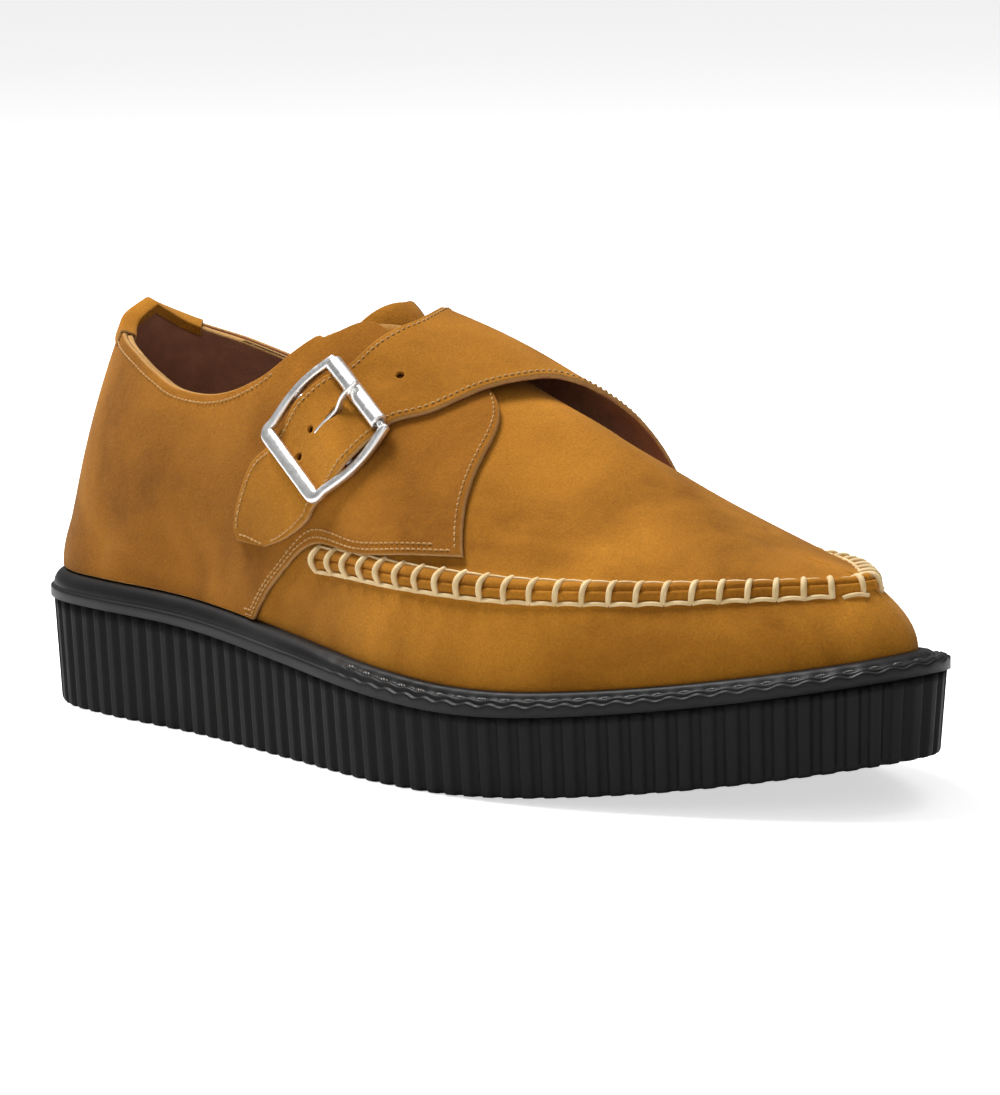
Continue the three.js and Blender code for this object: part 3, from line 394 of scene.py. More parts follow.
COLLAR = {
    "along": (0, 0.08, 0.16, 0.20, 0.235, 0.27, 0.30, 0.33, 0.36, 0.40, 0.44, 0.49),
    "up": (0.722, 0.675, 0.603, 0.567, 0.539, 0.530, 0.539, 0.568, 0.622, 0.750, 0.870, 1),
}
THROAT = COLLAR["along"][-1]
APRON_START = 0.447
APRON_FADE = 0.022
RIDGE_HEIGHT = 1.9 * MM
RIDGE_HALF = 2.9 * MM
STITCH_PITCH = 7.1 * MM
STITCH_PINCH = 0.22
PINCH_HALF = 1.3 * MM
BEAD_FULLNESS = 1.3
BEAD_GROOVE = {"share": 0.40, "at": -0.2 * MM, "half": 0.5 * MM}
HOLLOWS = ({"at": -5.5 * MM, "half": 3.2 * MM}, {"at": 5.0 * MM, "half": 2.6 * MM})
HOLLOW_DEPTH = 0.30 * MM
HOLLOW_BETWEEN_STITCHES = 0.35
COLLAR_LIP_GAP = 0.06 * MM
COLLAR_LIP = (1.2 * MM, 3.0 * MM)
RIM_FADE = (0.5 * MM, 1.5 * MM)
INNER_RIM_FADE = (0.3 * MM, 0.9 * MM)
RIDGE_SOFTENING = {"reach": 0.13, "half": 0.2}
SHOULDER_SOFTENING = {"reach": 0.05, "half": 0.07}
SKIRT_STEPS = 40
ROOF_STEPS = 160
SKIN_UPS = np.concatenate([np.linspace(0, SHOULDER_UP, SKIRT_STEPS), SHOULDER_UP + (1 - SHOULDER_UP)
                           * np.linspace(0, 1, ROOF_STEPS + 1)[1:] ** 1.3])
TOE_MIDDLE = (0.116, 0.0065, 0.046)
TOE_BLEND = (0.92, 0.97)
SUEDE = (0.370, 0.146, 0.0120)
LINING = (0.350, 0.160, 0.095)
CUT_EDGE = (0.500, 0.290, 0.110)


def column(table, name, at, key="along"):
    """Smooth value of one named column of a table, at any places along its key column"""
    keys, values = np.array(table[key], float), np.array(table[name], float)
    slopes = np.empty(len(keys))
    slopes[1:-1] = (values[2:] - values[:-2]) / (keys[2:] - keys[:-2])
    slopes[0] = (values[1] - values[0]) / (keys[1] - keys[0])
    slopes[-1] = (values[-1] - values[-2]) / (keys[-1] - keys[-2])
    i = np.clip(np.searchsorted(keys, at) - 1, 0, len(keys) - 2)
    span = keys[i + 1] - keys[i]
    t = np.clip((at - keys[i]) / span, 0, 1)
    bend = span * (slopes[i] * t * (1 - t) ** 2 - slopes[i + 1] * t * t * (1 - t))
    return values[i] + (values[i + 1] - values[i]) * t * t * (3 - 2 * t) + bend


def bare_skin(along, girth):
    """The last's skin, exactly as its sections give it"""
    along, girth = np.broadcast_arrays(np.asarray(along, float), np.asarray(girth, float))
    over = (along < 0) | (along > 1)
    along = np.where(along < 0, -along, np.where(along > 1, 2 - along, along))
    girth = np.where(over, -girth, girth)
    side, up = np.where(girth < 0, -1, 1), 1 - np.abs(girth)
    of = {name: column(SECTION, name, along) for name in SECTION if name != "along"}
    rim = edge_point(side, along, 0.0)
    out = edge_point(side, along, 1.0) - rim
    width = WELT_WIDTH_HEEL + (WELT_WIDTH_BALL - WELT_WIDTH_HEEL) * heel_to_ball(rim[..., 0])
    width = width + WELT_WIDEN_TOE * ease(rim[..., 0], WIDEN_START, WIDEN_END)
    foot = rim - out * width[..., None]
    foot_z = sole_top(foot[..., 0]) + FIT_GAP
    shoulder = foot - out * (of["tuck"] * BALL_WIDTH)[..., None]
    shoulder_z = of["shoulder"] * APRON_HEIGHT
    climb = np.clip(up / SHOULDER_UP, 0, 1)
    belly = (of["swell"] * np.sin(math.pi * climb) + of["tuck"] * climb * (1 - climb)) * BALL_WIDTH
    wall = foot + (shoulder - foot) * climb[..., None] + out * belly[..., None]
    turn = np.clip((up - SHOULDER_UP) / (1 - SHOULDER_UP), 0, 1) * math.pi / 2
    reach = np.maximum(np.cos(turn), 0) ** of["reach"]
    rise = np.sin(turn) ** of["rise"]
    top = [column(RIDGE, name, along) for name in ("ridge", "side", "top")]
    ridge = np.stack([top[0] * LENGTH, top[1] * BALL_WIDTH], -1)
    roof = ridge + (shoulder - ridge) * reach[..., None]
    low = (up < SHOULDER_UP)
    flat = np.where(low[..., None], wall, roof)
    height = np.where(low, foot_z + (shoulder_z - foot_z) * climb,
                      shoulder_z + (top[2] * INSTEP_HEIGHT - shoulder_z) * rise)
    return with_height(flat, height)


def last_skin(along, girth):
    """The last's skin with its ridge and shoulder lines rubbed round"""
    along, girth = np.broadcast_arrays(np.asarray(along, float), np.asarray(girth, float))
    soft = RIDGE_SOFTENING["reach"] * np.exp(-(girth / RIDGE_SOFTENING["half"]) ** 2)
    from_shoulder = (np.abs(girth) - 1 + SHOULDER_UP) / SHOULDER_SOFTENING["half"]
    soft = soft + SHOULDER_SOFTENING["reach"] * np.exp(-from_shoulder ** 2) * (1 - apron_share(along))
    return sum(weight * bare_skin(along, girth + soft * shift)
               for shift, weight in ((-1, 0.125), (-0.5, 0.25), (0, 0.25), (0.5, 0.25), (1, 0.125)))


def off_last(along, girth, outwards):
    """A point off the last's skin, outwards along the skin's own direction"""
    girth = np.asarray(girth, float)
    ahead = last_skin(along + SKIN_STEP, girth) - last_skin(along - SKIN_STEP, girth)
    over = (last_skin(along, np.minimum(girth + SKIN_STEP, 1))
            - last_skin(along, np.maximum(girth - SKIN_STEP, -1)))
    out = np.cross(ahead, over)
    out /= np.linalg.norm(out, axis=-1, keepdims=True)
    return last_skin(along, girth) + out * np.asarray(outwards)[..., None]


def collar_up(along):
    return np.where(along < THROAT, column(COLLAR, "up", along), 1.0)


def apron_share(along):
    """1 where the apron seam stands up, 0 behind its rear end"""
    return ease(along, APRON_START - APRON_FADE, APRON_START)


def seam_run(side, along):
    """How far over the skin each of SKIN_UPS lies from the shoulder line, at places along"""
    line = last_skin(along[:, None], side * (1 - SKIN_UPS)[None, :])
    run = np.cumsum(np.linalg.norm(np.diff(line, axis=1), axis=2), axis=1)
    run = np.concatenate([np.zeros((len(along), 1)), run], 1)
    return run - run[:, SKIRT_STEPS - 1:SKIRT_STEPS]


SEAM_DENSE = 400


def seam_places(side):
    """Where the apron seam's stitches cross it, evenly spaced from rear to toe, and their pitch"""
    dense = np.linspace(APRON_START - APRON_FADE / 2, 1, SEAM_DENSE)
    line = last_skin(dense, np.full(SEAM_DENSE, side * (1 - SHOULDER_UP)))
    run = np.concatenate([[0], np.cumsum(np.linalg.norm(np.diff(line, axis=0), axis=1))])
    count = round(run[-1] / STITCH_PITCH)
    return np.interp((np.arange(count) + 0.5) / count * run[-1], run, dense), run[-1] / count


# Soft troughs that wear leaves in the suede: from one place on the last to another, how
# far they reach to each side and how deep they go
CREASES = [
    dict(start=(0.640, -0.46), end=(0.665, -0.22), half=0.0075, depth=0.0006),
    dict(start=(0.690, -0.50), end=(0.720, -0.15), half=0.0100, depth=0.0005),
    dict(start=(0.640, 0.46), end=(0.665, 0.22), half=0.0075, depth=0.0006),
    dict(start=(0.600, -0.74), end=(0.680, -0.82), half=0.0090, depth=0.0005),
    dict(start=(0.780, -0.76), end=(0.840, -0.86), half=0.0100, depth=0.0004),
    dict(start=(0.190, -0.62), end=(0.300, -0.80), half=0.0110, depth=0.0006),
    dict(start=(0.060, -0.58), end=(0.160, -0.70), half=0.0100, depth=0.0005),
    dict(start=(0.190, 0.62), end=(0.300, 0.80), half=0.0110, depth=0.0006),
    dict(start=(0.470, -0.30), end=(0.520, -0.12), half=0.0080, depth=0.0005),
]
SIDE_LENGTH = 0.345
GIRTH_LENGTH = 0.100


def crease_depth(along, girth):
    """How deep the troughs are at a place"""
    place = np.stack([along * SIDE_LENGTH, girth * GIRTH_LENGTH], -1)
    deep = np.zeros(np.shape(along))
    for crease in CREASES:
        start, end = (np.array([crease[key][0] * SIDE_LENGTH, crease[key][1] * GIRTH_LENGTH])
                      for key in ("start", "end"))
        run = end - start
        share = np.clip((place - start) @ run / (run @ run), 0, 1)
        away = np.linalg.norm(place - start - share[..., None] * run, axis=-1)
        deep += crease["depth"] * np.exp(-(away / crease["half"]) ** 2)
    return deep


def suede(name, colour, lining=False):
    """Brushed suede: a fibrous nap that lies in light and dark patches, pale at cut edges.
    The point attribute edge is 1 at a cut edge, inside is 1 on the lining."""
    material, shader, node, join = new_material(name)
    place = node("ShaderNodeTexCoord").outputs["Object"]
    patches = node("ShaderNodeTexNoise", Vector=place, Scale=26.0, Detail=3.0, Distortion=0.6)
    cloud = node("ShaderNodeTexNoise", Vector=place, Scale=150.0, Detail=4.0, Roughness=0.62)
    fibre = node("ShaderNodeTexNoise", Vector=place, Scale=1700.0, Detail=3.0, Roughness=0.7)
    dark, light = shade(colour, 0.56, 0.50, 0.40), shade(colour, 1.30, 1.34, 1.60)
    tone = mixed(node, ranged(node, patches.outputs[0], 0.30, 0.70), dark, light)
    tone = mixed(node, ranged(node, cloud.outputs[0], 0.35, 0.70, 0.0, 0.5), tone, shade(colour, 1))
    grain = ranged(node, fibre.outputs[0], 0.30, 0.70, 0.80, 1.16)
    grain = node("ShaderNodeCombineColor", _0=grain, _1=grain, _2=grain).outputs[0]
    tone = mixed(node, 1.0, tone, grain, "MULTIPLY")
    edge = node("ShaderNodeAttribute", {"attribute_name": "edge"}).outputs["Fac"]
    tone = mixed(node, ranged(node, edge, 0.15, 1.0, 0.0, 0.85), tone, shade(CUT_EDGE, 1))
    if lining:
        inside = node("ShaderNodeAttribute", {"attribute_name": "inside"}).outputs["Fac"]
        hide = mixed(node, ranged(node, cloud.outputs[0], 0.3, 0.7), shade(LINING, 1), shade(LINING, 1.35))
        tone = mixed(node, inside, tone, hide)
    join(tone, shader.inputs["Base Color"])
    shader.inputs["Roughness"].default_value = 0.95
    shader.inputs["Specular IOR Level"].default_value = 0.12
    shader.inputs["Sheen Weight"].default_value = 0.10
    shader.inputs["Sheen Roughness"].default_value = 0.45
    shader.inputs["Sheen Tint"].default_value = (1.0, 0.78, 0.42, 1)
    nap = node("ShaderNodeBump", Strength=0.9, Distance=0.22 * MM, Height=fibre.outputs[0])
    swell = node("ShaderNodeBump", Strength=0.5, Distance=0.8 * MM, Height=cloud.outputs[0],
                 Normal=nap.outputs[0])
    join(swell.outputs[0], shader.inputs["Normal"])
    return material


vamp_suede = suede("vamp_suede", SUEDE, lining=True)


SEAM_COLUMNS = 21
SKIRT_COLUMNS = 15
ROOF_COLUMNS = 26
LIP_COLUMNS = 5


def upper_sheet(side, stations):
    """One side of the shell, outside and inside, with its facts"""
    half = UPPER_WALL / 2
    seam_band = RIDGE_HALF * np.linspace(-1, 1, SEAM_COLUMNS)
    run = seam_run(side, stations)
    end_run = np.array([np.interp(t, SKIN_UPS, r) for t, r in zip(collar_up(stations), run)])
    lip = 1 - np.cos(np.linspace(0, math.pi / 2, LIP_COLUMNS))[1:]
    away = []
    for start, end in zip(run[:, 0], end_run):
        low = np.linspace(start, seam_band[0], SKIRT_COLUMNS)
        high = np.linspace(seam_band[-1], end - half, ROOF_COLUMNS)
        away.append(np.concatenate([low, seam_band[1:-1], high, end - half + lip * half]))
    away = np.array(away)
    girth = side * (1 - np.array([np.interp(d, r, SKIN_UPS) for d, r in zip(away, run)]))
    along = np.broadcast_to(stations[:, None], girth.shape)
    apron = apron_share(along)

    bars = seam_places(side)[0]
    nearest = bars[np.abs(stations[:, None] - bars[None, :]).argmin(1)]
    from_bar = np.abs(stations - nearest) * SIDE_LENGTH
    pinch = np.exp(-(from_bar / PINCH_HALF) ** 2)[:, None] * apron
    bead = np.sqrt(np.maximum(1 - (away / RIDGE_HALF) ** 2, 0)) ** BEAD_FULLNESS
    groove = BEAD_GROOVE["share"] * np.exp(-((away - BEAD_GROOVE["at"]) / BEAD_GROOVE["half"]) ** 2)
    lift = RIDGE_HEIGHT * apron * (bead - groove * bead) * (1 - STITCH_PINCH * pinch)
    hollow = sum(np.exp(-((away - dip["at"]) / dip["half"]) ** 2) for dip in HOLLOWS)
    between = HOLLOW_BETWEEN_STITCHES + (1 - HOLLOW_BETWEEN_STITCHES) * pinch
    lift = lift - HOLLOW_DEPTH * hollow * between * apron
    lift = lift - crease_depth(along, girth) * (np.abs(away) >= RIDGE_HALF)

    open_edge = (stations < THROAT)[:, None]
    from_end = np.where(open_edge, end_run[:, None] - away, 1.0)
    round_off = half * (1 - np.sqrt(np.clip(1 - (1 - np.clip(from_end / half, 0, 1)) ** 2, 0, 1)))
    fold = (PANEL_GAP - COLLAR_LIP_GAP) * (1 - ease(from_end, *COLLAR_LIP))
    outside = off_last(along, girth, lift + fold - round_off * (1 + fold / half))
    inside = off_last(along, girth, -UPPER_WALL + round_off)
    skin = last_skin(along, girth)
    inwards = TOE_MIDDLE - skin
    inwards *= (UPPER_WALL - round_off)[..., None] / np.linalg.norm(inwards, axis=-1, keepdims=True)
    inside += (skin + inwards - inside) * ease(along, *TOE_BLEND)[..., None]
    return outside, inside, 1 - ease(from_end, *RIM_FADE), 1 - ease(from_end, *INNER_RIM_FADE)


OPEN_STATIONS = 76
CLOSED_STATIONS = 256

stations = np.unique(np.concatenate([np.linspace(0, THROAT, OPEN_STATIONS),
                                     np.linspace(THROAT, 1, CLOSED_STATIONS)]))
upper_patches, edge_grids, inside_grids = [], [], []
for side in (-1, 1):
    outside, inside, rim, inner_rim = upper_sheet(side, stations)
    foot = np.stack([outside[:, 0], inside[:, 0]], 1)
    upper_patches += [outside, inside, foot]
    edge_grids += [rim, inner_rim, np.zeros(foot.shape[:2])]
    inside_grids += [np.zeros(rim.shape), 1 - inner_rim, np.ones(foot.shape[:2])]
    open_part = stations <= THROAT + 1e-9
    lip = np.stack([outside[open_part, -1], inside[open_part, -1]], 1)
    upper_patches.append(lip)
    edge_grids.append(np.ones(lip.shape[:2]))
    inside_grids.append(np.zeros(lip.shape[:2]))
upper = solid("upper_shell", upper_patches, {"edge": edge_grids, "inside": inside_grids})
upper.data.materials.append(vamp_suede)
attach(upper, "root")
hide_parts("upper")


# Insole
# The real piece is a fibre board under a leather sock, which the foot stands on. It lies
# loose in the shell and closes its bottom.
INSOLE_THICKNESS = 3.0 * MM
INSOLE_CLEARANCE = 0.6 * MM
SOCK_ROUNDING = 0.8 * MM
SOCK = (0.150, 0.070, 0.038)
SOCK_STATIONS = 90
SOCK_EDGE = 0.015

sock_along = np.linspace(0, 1, SOCK_STATIONS)
sock_outwards = np.full(SOCK_STATIONS, -UPPER_WALL - INSOLE_CLEARANCE)
sock_rims = [off_last(sock_along, np.full(SOCK_STATIONS, side), sock_outwards) for side in (-1.0, 1.0)]
sock_rim = np.array([0, 0.004, SOCK_EDGE])
sock_across = np.concatenate([sock_rim, np.linspace(0.05, 0.95, 13), 1 - sock_rim[::-1]])
sock_width = (sock_rims[1] - sock_rims[0])[:, None, :2]
sock_flat = sock_rims[0][:, None, :2] + sock_width * sock_across[None, :, None]
sock_bottom = with_height(sock_flat, sole_top(sock_flat[..., 0]) + FIT_GAP)
sock_drop = SOCK_ROUNDING * np.clip(1 - np.minimum(sock_across, 1 - sock_across) / SOCK_EDGE, 0, 1) ** 2
sock_top = sock_bottom + np.array([0, 0, INSOLE_THICKNESS])
sock_top[..., 2] -= sock_drop[None, :]
sock_sides = [np.array([sock_bottom[:, k], sock_top[:, k]]) for k in (0, -1)]
sock_ends = [np.array([sock_bottom[k], sock_top[k]]) for k in (0, -1)]
insole = solid("insole_sock", [sock_bottom, sock_top, *sock_sides, *sock_ends])


def smooth_leather(name, colour):
    """Thin lining leather: even colour, a close grain and a faint gloss"""
    material, shader, node, join = new_material(name)
    place = node("ShaderNodeTexCoord").outputs["Object"]
    cloud = node("ShaderNodeTexNoise", Vector=place, Scale=60.0, Detail=3.0)
    grain = node("ShaderNodeTexVoronoi", Vector=place, Scale=1100.0)
    tone = mixed(node, cloud.outputs[0], shade(colour, 0.75), shade(colour, 1.3))
    join(tone, shader.inputs["Base Color"])
    join(ranged(node, cloud.outputs[0], 0.0, 1.0, 0.5, 0.7), shader.inputs["Roughness"])
    bump = node("ShaderNodeBump", Strength=0.4, Distance=0.08 * MM, Height=grain.outputs["Distance"])
    join(bump.outputs[0], shader.inputs["Normal"])
    return material


insole.data.materials.append(smooth_leather("sock_leather", SOCK))
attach(insole, "root")
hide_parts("insole")


# Welt
# The real piece is a smooth rubber strip on the sole's rim. It rolls up against the upper
# at the heel, and from the waist forward it is flatter, grooved and stitched down.
WELT_OVERHANG = 0.9 * MM
WELT_FACE = 3.4 * MM
WELT_RISE_HEEL = 4.4 * MM
WELT_RISE_BALL = 2.6 * MM
WELT_LIP = 0.9 * MM
WELT_GROOVE_DEPTH = 1.6 * MM
WELT_GROOVE_AT = 0.36
WELT_GROOVE_WIDTH = 0.17
WELT_STITCH_PITCH = 7.0 * MM
WELT_SCALLOP = 0.40 * MM
WELT_FRONT = (-0.020, 0.035)
WELT_LIP_SWELL = 0.1 * MM
WELT_GROOVE_WAVE = 0.15
WELT_ROLL_STEPS = 19
WELT_STATIONS = 361
WELT_GROOVE_ROWS = (11, 15, 18)
WELT_RUBBER = (0.0068, 0.0068, 0.0070)


def up_above(along, height):
    """The up value at a height above the last's lower edge, below the shoulder"""
    shoulder_z = column(SECTION, "shoulder", along) * APRON_HEIGHT
    foot = edge_point(np.full(np.shape(along), -1), along, 0.0)
    return SHOULDER_UP * height / (shoulder_z - sole_top(foot[..., 0]))


def welt_up(along, clearance):
    foot = edge_point(np.full(np.shape(along), -1), along, 0.0)
    rise = WELT_RISE_HEEL + (WELT_RISE_BALL - WELT_RISE_HEEL) * heel_to_ball(foot[..., 0])
    return up_above(along, WELT_FACE + rise + clearance)


def welt_ring(side, along):
    """Sections of the welt at places along one side, from its low outer edge round"""
    side = np.full(len(along), side)
    low = edge_point(side, along, WELT_OVERHANG)
    brim = sole_top(low[:, 0])
    in_top = off_last(along, side * (1 - welt_up(along, 0.0)), np.full(len(along), FIT_GAP))
    in_low = off_last(along, side.astype(float), np.full(len(along), FIT_GAP))[:, :2]
    out = edge_point(side, along, 1.0) - edge_point(side, along, 0.0)
    share = np.where(side < 0, along * TOE_SHARE, 1 - along * (1 - TOE_SHARE))
    front = ease(low[:, 0], *WELT_FRONT)
    wave = np.cos(2 * math.pi * np.round(PERIMETER / WELT_STITCH_PITCH) * share)
    rows = [with_height(low, brim + FIT_GAP)]
    for turn in np.linspace(0, math.pi / 2, CORNER_STEPS):
        inwards = WELT_LIP * (1 - math.cos(turn)) - WELT_LIP_SWELL * math.sin(turn * 2)
        height = WELT_FACE - WELT_LIP * (1 - math.sin(turn)) + WELT_SCALLOP * front * wave
        rows.append(with_height(low - out * inwards, brim + height))
    start = rows[-1]
    for turn in np.linspace(0, math.pi / 2, WELT_ROLL_STEPS)[1:]:
        cross = 1 - math.cos(turn)
        flat = start[:, :2] + (in_top[:, :2] - start[:, :2]) * cross
        height = start[:, 2] + (in_top[:, 2] - start[:, 2]) * math.sin(turn)
        dip = math.exp(-((cross - WELT_GROOVE_AT) / WELT_GROOVE_WIDTH) ** 2)
        height -= dip * front * WELT_GROOVE_DEPTH * (1 - WELT_GROOVE_WAVE * (1 + wave))
        rows.append(with_height(flat, height))
    rows.append(with_height(in_low, brim + FIT_GAP))
    rows.append(rows[0])
    return np.stack(rows, 1)


welt_along = np.linspace(0, 1, WELT_STATIONS)
welt_patch = np.concatenate([welt_ring(-1, welt_along), welt_ring(1, welt_along[::-1])[1:]])
welt = solid("welt_strip", [welt_patch])
welt_rubber = rubber("welt_rubber", WELT_RUBBER, 0.46, 0.06 * MM)
welt.data.materials.append(welt_rubber)
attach(welt, "root")
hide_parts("welt")


def stitch_tree(name, material):
    """Sets one arched stitch of thread on every point, turned to the point's own along and
    out directions, with a little unevenness"""
    tree, node, sizes = new_tree(name, stitch_length=0.002, thread=0.0005, rise=0.0004,
                                 sunk=0.0004, unevenness=0.08, seed=1)
    maths, named = tree_words(node)
    half = maths("MULTIPLY", sizes["Stitch length"], 0.5)
    sunk = maths("MULTIPLY", sizes["Sunk"], -1.0)
    start = node("ShaderNodeCombineXYZ", X=maths("MULTIPLY", half, -1.0), Z=sunk).outputs[0]
    middle = node("ShaderNodeCombineXYZ", X=0.0, Z=maths("ADD", maths("MULTIPLY", sizes["Rise"], 2.0),
                                                         sizes["Sunk"])).outputs[0]
    end = node("ShaderNodeCombineXYZ", X=half, Z=sunk).outputs[0]
    arc = node("GeometryNodeCurveQuadraticBezier", Resolution=8, Start=start, Middle=middle, End=end)
    round_thread = node("GeometryNodeCurvePrimitiveCircle", Resolution=8,
                        Radius=maths("MULTIPLY", sizes["Thread"], 0.5))
    stitch = node("GeometryNodeCurveToMesh", _0=arc.outputs[0], _1=round_thread.outputs[0],
                  Fill_Caps=True)
    turned = node("FunctionNodeAlignRotationToVector", {"axis": "X"},
                  Vector=named("along", "FLOAT_VECTOR"))
    turned = node("FunctionNodeAlignRotationToVector", {"axis": "Z", "pivot_axis": "X"},
                  Rotation=turned.outputs[0], Vector=named("out", "FLOAT_VECTOR"))
    low = maths("SUBTRACT", 1.0, sizes["Unevenness"])
    high = maths("ADD", 1.0, sizes["Unevenness"])
    uneven = node("FunctionNodeRandomValue", {"data_type": "FLOAT"}, _2=low, _3=high,
                  Seed=sizes["Seed"])
    placed = node("GeometryNodeInstanceOnPoints", Points=sizes["Geometry"], Instance=stitch.outputs[0],
                  Rotation=turned.outputs[0], Scale=uneven.outputs[1])
    end_tree(node, placed.outputs[0], material)
    return tree


def stitches(name, tree, points, along, out, slot, **sizes):
    """A row of stitches as one piece"""
    mesh = bpy.data.meshes.new(name)
    mesh.from_pydata(points.tolist(), [], [])
    for fact, values in (("along", along), ("out", out)):
        layer = mesh.attributes.new(fact, "FLOAT_VECTOR", "POINT")
        layer.data.foreach_set("vector", np.ascontiguousarray(values).ravel())
    piece = bpy.data.objects.new(name, mesh)
    bpy.context.scene.collection.objects.link(piece)
    apply_tree(piece, tree, **sizes)
    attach(piece, "root")


def thread(name, colour, roughness):
    """Twisted waxed thread: fine slanting strands and a little dirt in the hollows"""
    material, shader, node, join = new_material(name)
    place = node("ShaderNodeTexCoord").outputs["Object"]
    strands = node("ShaderNodeTexWave", {"bands_direction": "DIAGONAL"}, Vector=place,
                   Scale=900.0, Distortion=2.0, Detail=2.0)
    soil = node("ShaderNodeTexNoise", Vector=place, Scale=240.0, Detail=3.0)
    soiled = shade(colour, 0.78, 0.70, 0.55)
    tone = mixed(node, ranged(node, soil.outputs[0], 0.35, 0.75), shade(colour, 1), soiled)
    join(tone, shader.inputs["Base Color"])
    shader.inputs["Roughness"].default_value = roughness
    bump = node("ShaderNodeBump", Strength=0.6, Distance=0.1 * MM, Height=strands.outputs["Fac"])
    join(bump.outputs[0], shader.inputs["Normal"])
    return material


WELT_THREAD = (0.012, 0.012, 0.013)


def welt_stitches(side):
    """Places in the middle of each scallop along the welt's groove, from the waist on"""
    count = int(np.round(PERIMETER / WELT_STITCH_PITCH))
    share = (np.arange(count) + 0.5) / count
    share = share[share < TOE_SHARE] if side < 0 else share[share >= TOE_SHARE]
    along = share / TOE_SHARE if side < 0 else (1 - share) / (1 - TOE_SHARE)
    along = along[edge_point(np.full(len(along), side), along, 0.0)[:, 0] > 0.0]
    step = 0.004
    ring, ahead, behind = (welt_ring(side, at) for at in (along, along + step, along - step))
    outer, groove, inner = WELT_GROOVE_ROWS
    run = ahead[:, groove] - behind[:, groove]
    across = ring[:, inner] - ring[:, outer]
    up = np.cross(run, across) * -side
    up *= np.sign(up[:, 2:])
    return ring[:, groove], run, up


welt_places = [np.concatenate(grids) for grids in zip(welt_stitches(-1), welt_stitches(1))]
stitches("welt_stitches", stitch_tree("welt_stitch", thread("black_waxed_thread", WELT_THREAD, 0.35)),
         *welt_places, "welt_rubber", stitch_length=6.0 * MM, thread=1.5 * MM, rise=0.45 * MM,
         sunk=0.9 * MM, unevenness=0.04, seed=3)


# Apron stitches
# The real stitches are thick cream waxed thread, sewn by hand over the raised seam: bars
# across it, joined by a run of thread along its foot on both sides.
CREAM_THREAD = (0.790, 0.600, 0.320)
BAR_REACH = 6.7 * MM
RUN_BELOW = 3.5 * MM
RUN_ABOVE = 3.1 * MM
RUN_LIFT = 0.1 * MM
BAR_SLANT = 0.7 * MM
BAR_OVER_RIDGE = 0.45 * MM


def on_seam(side, along, distance, lift):
    """Points off the skin at a distance from the apron seam, with the seam's run and out"""
    up = np.array([np.interp(distance, skin_run, SKIN_UPS) for skin_run in seam_run(side, along)])
    girth = side * (1 - up)
    here = off_last(along, girth, np.full(len(along), lift))
    out = off_last(along, girth, np.full(len(along), lift + MM)) - here
    step = 0.003
    run = (off_last(along + step, girth, np.full(len(along), lift))
           - off_last(along - step, girth, np.full(len(along), lift)))
    return here, run, out


def joined(parts):
    return [np.concatenate(grids) for grids in zip(*parts)]


bar_parts, low_parts, high_parts = [], [], []
for side in (-1, 1):
    bars, pitch = seam_places(side)
    here, run, out = on_seam(side, bars, 0.0, 0.0)
    low, high = (on_seam(side, bars, reach, 0.0)[0] for reach in (-BAR_REACH / 2, BAR_REACH / 2))
    tilt = (high - low) + run / np.linalg.norm(run, axis=1, keepdims=True) * BAR_SLANT
    facing = np.cross(run, high - low)
    facing *= np.sign(np.sum(facing * out, 1))[:, None]
    bar_parts.append(((low + high) / 2, tilt, facing))
    between = (bars[1:] + bars[:-1]) / 2
    low_parts.append(on_seam(side, between, -RUN_BELOW, RUN_LIFT))
    high_parts.append(on_seam(side, between, RUN_ABOVE, 0.0))
cream = thread("cream_waxed_thread", CREAM_THREAD, 0.6)
apron_tree = stitch_tree("apron_stitch", cream)
stitches("apron_bars", apron_tree, *joined(bar_parts), "suede_vamp", stitch_length=BAR_REACH,
         thread=1.65 * MM, rise=RIDGE_HEIGHT + BAR_OVER_RIDGE, sunk=0.35 * MM, unevenness=0.03, seed=4)
stitches("apron_run_low", apron_tree, *joined(low_parts), "suede_vamp", stitch_length=pitch * 0.96,
         thread=1.15 * MM, rise=0.35 * MM, sunk=0.45 * MM, unevenness=0.03, seed=5)
stitches("apron_run_high", apron_tree, *joined(high_parts), "suede_vamp", stitch_length=pitch,
         thread=0.75 * MM, rise=0.25 * MM, sunk=0.35 * MM, unevenness=0.04, seed=6)


# Tongue
# The real piece is a tongue of the same suede, sewn in under the vamp. Only its top shows,
# behind the strap.
TONGUE_TOP = 0.428
TONGUE_ROUNDING = 0.085
TONGUE_END = 0.6
TONGUE_HALF = 0.27
TONGUE_GAP = 0.8 * MM
TONGUE_RISE = 1.0 * MM
TONGUE_EASE = 0.6 * MM
TONGUE_FILL = 0.9
EDGE_ROUNDING = 0.65 * MM
PALE_DEPTH = 0.3 * MM
TONGUE_STEPS = 34
TONGUE_EDGE_SHARE = 0.012
TONGUE_LONG = 60 * MM
TONGUE_HALF_WIDE = 30 * MM


def edge_drop(away, radius=EDGE_ROUNDING):
    """How far a face falls at a distance from its rounded edge"""
    return radius * (1 - np.sqrt(np.clip(1 - (1 - np.clip(away / radius, 0, 1)) ** 2, 0, 1)))


def fine_ends(count, edge_share, last=True):
    """Shares from 0 to 1, close together at the ends that have a rounded edge"""
    low = edge_share * np.array([0, 0.06, 0.2, 0.42, 0.7, 1.0])
    high = (1 - low[::-1]) if last else np.array([1.0])
    return np.concatenate([low, np.linspace(low[-1], high[0], count)[1:-1], high])


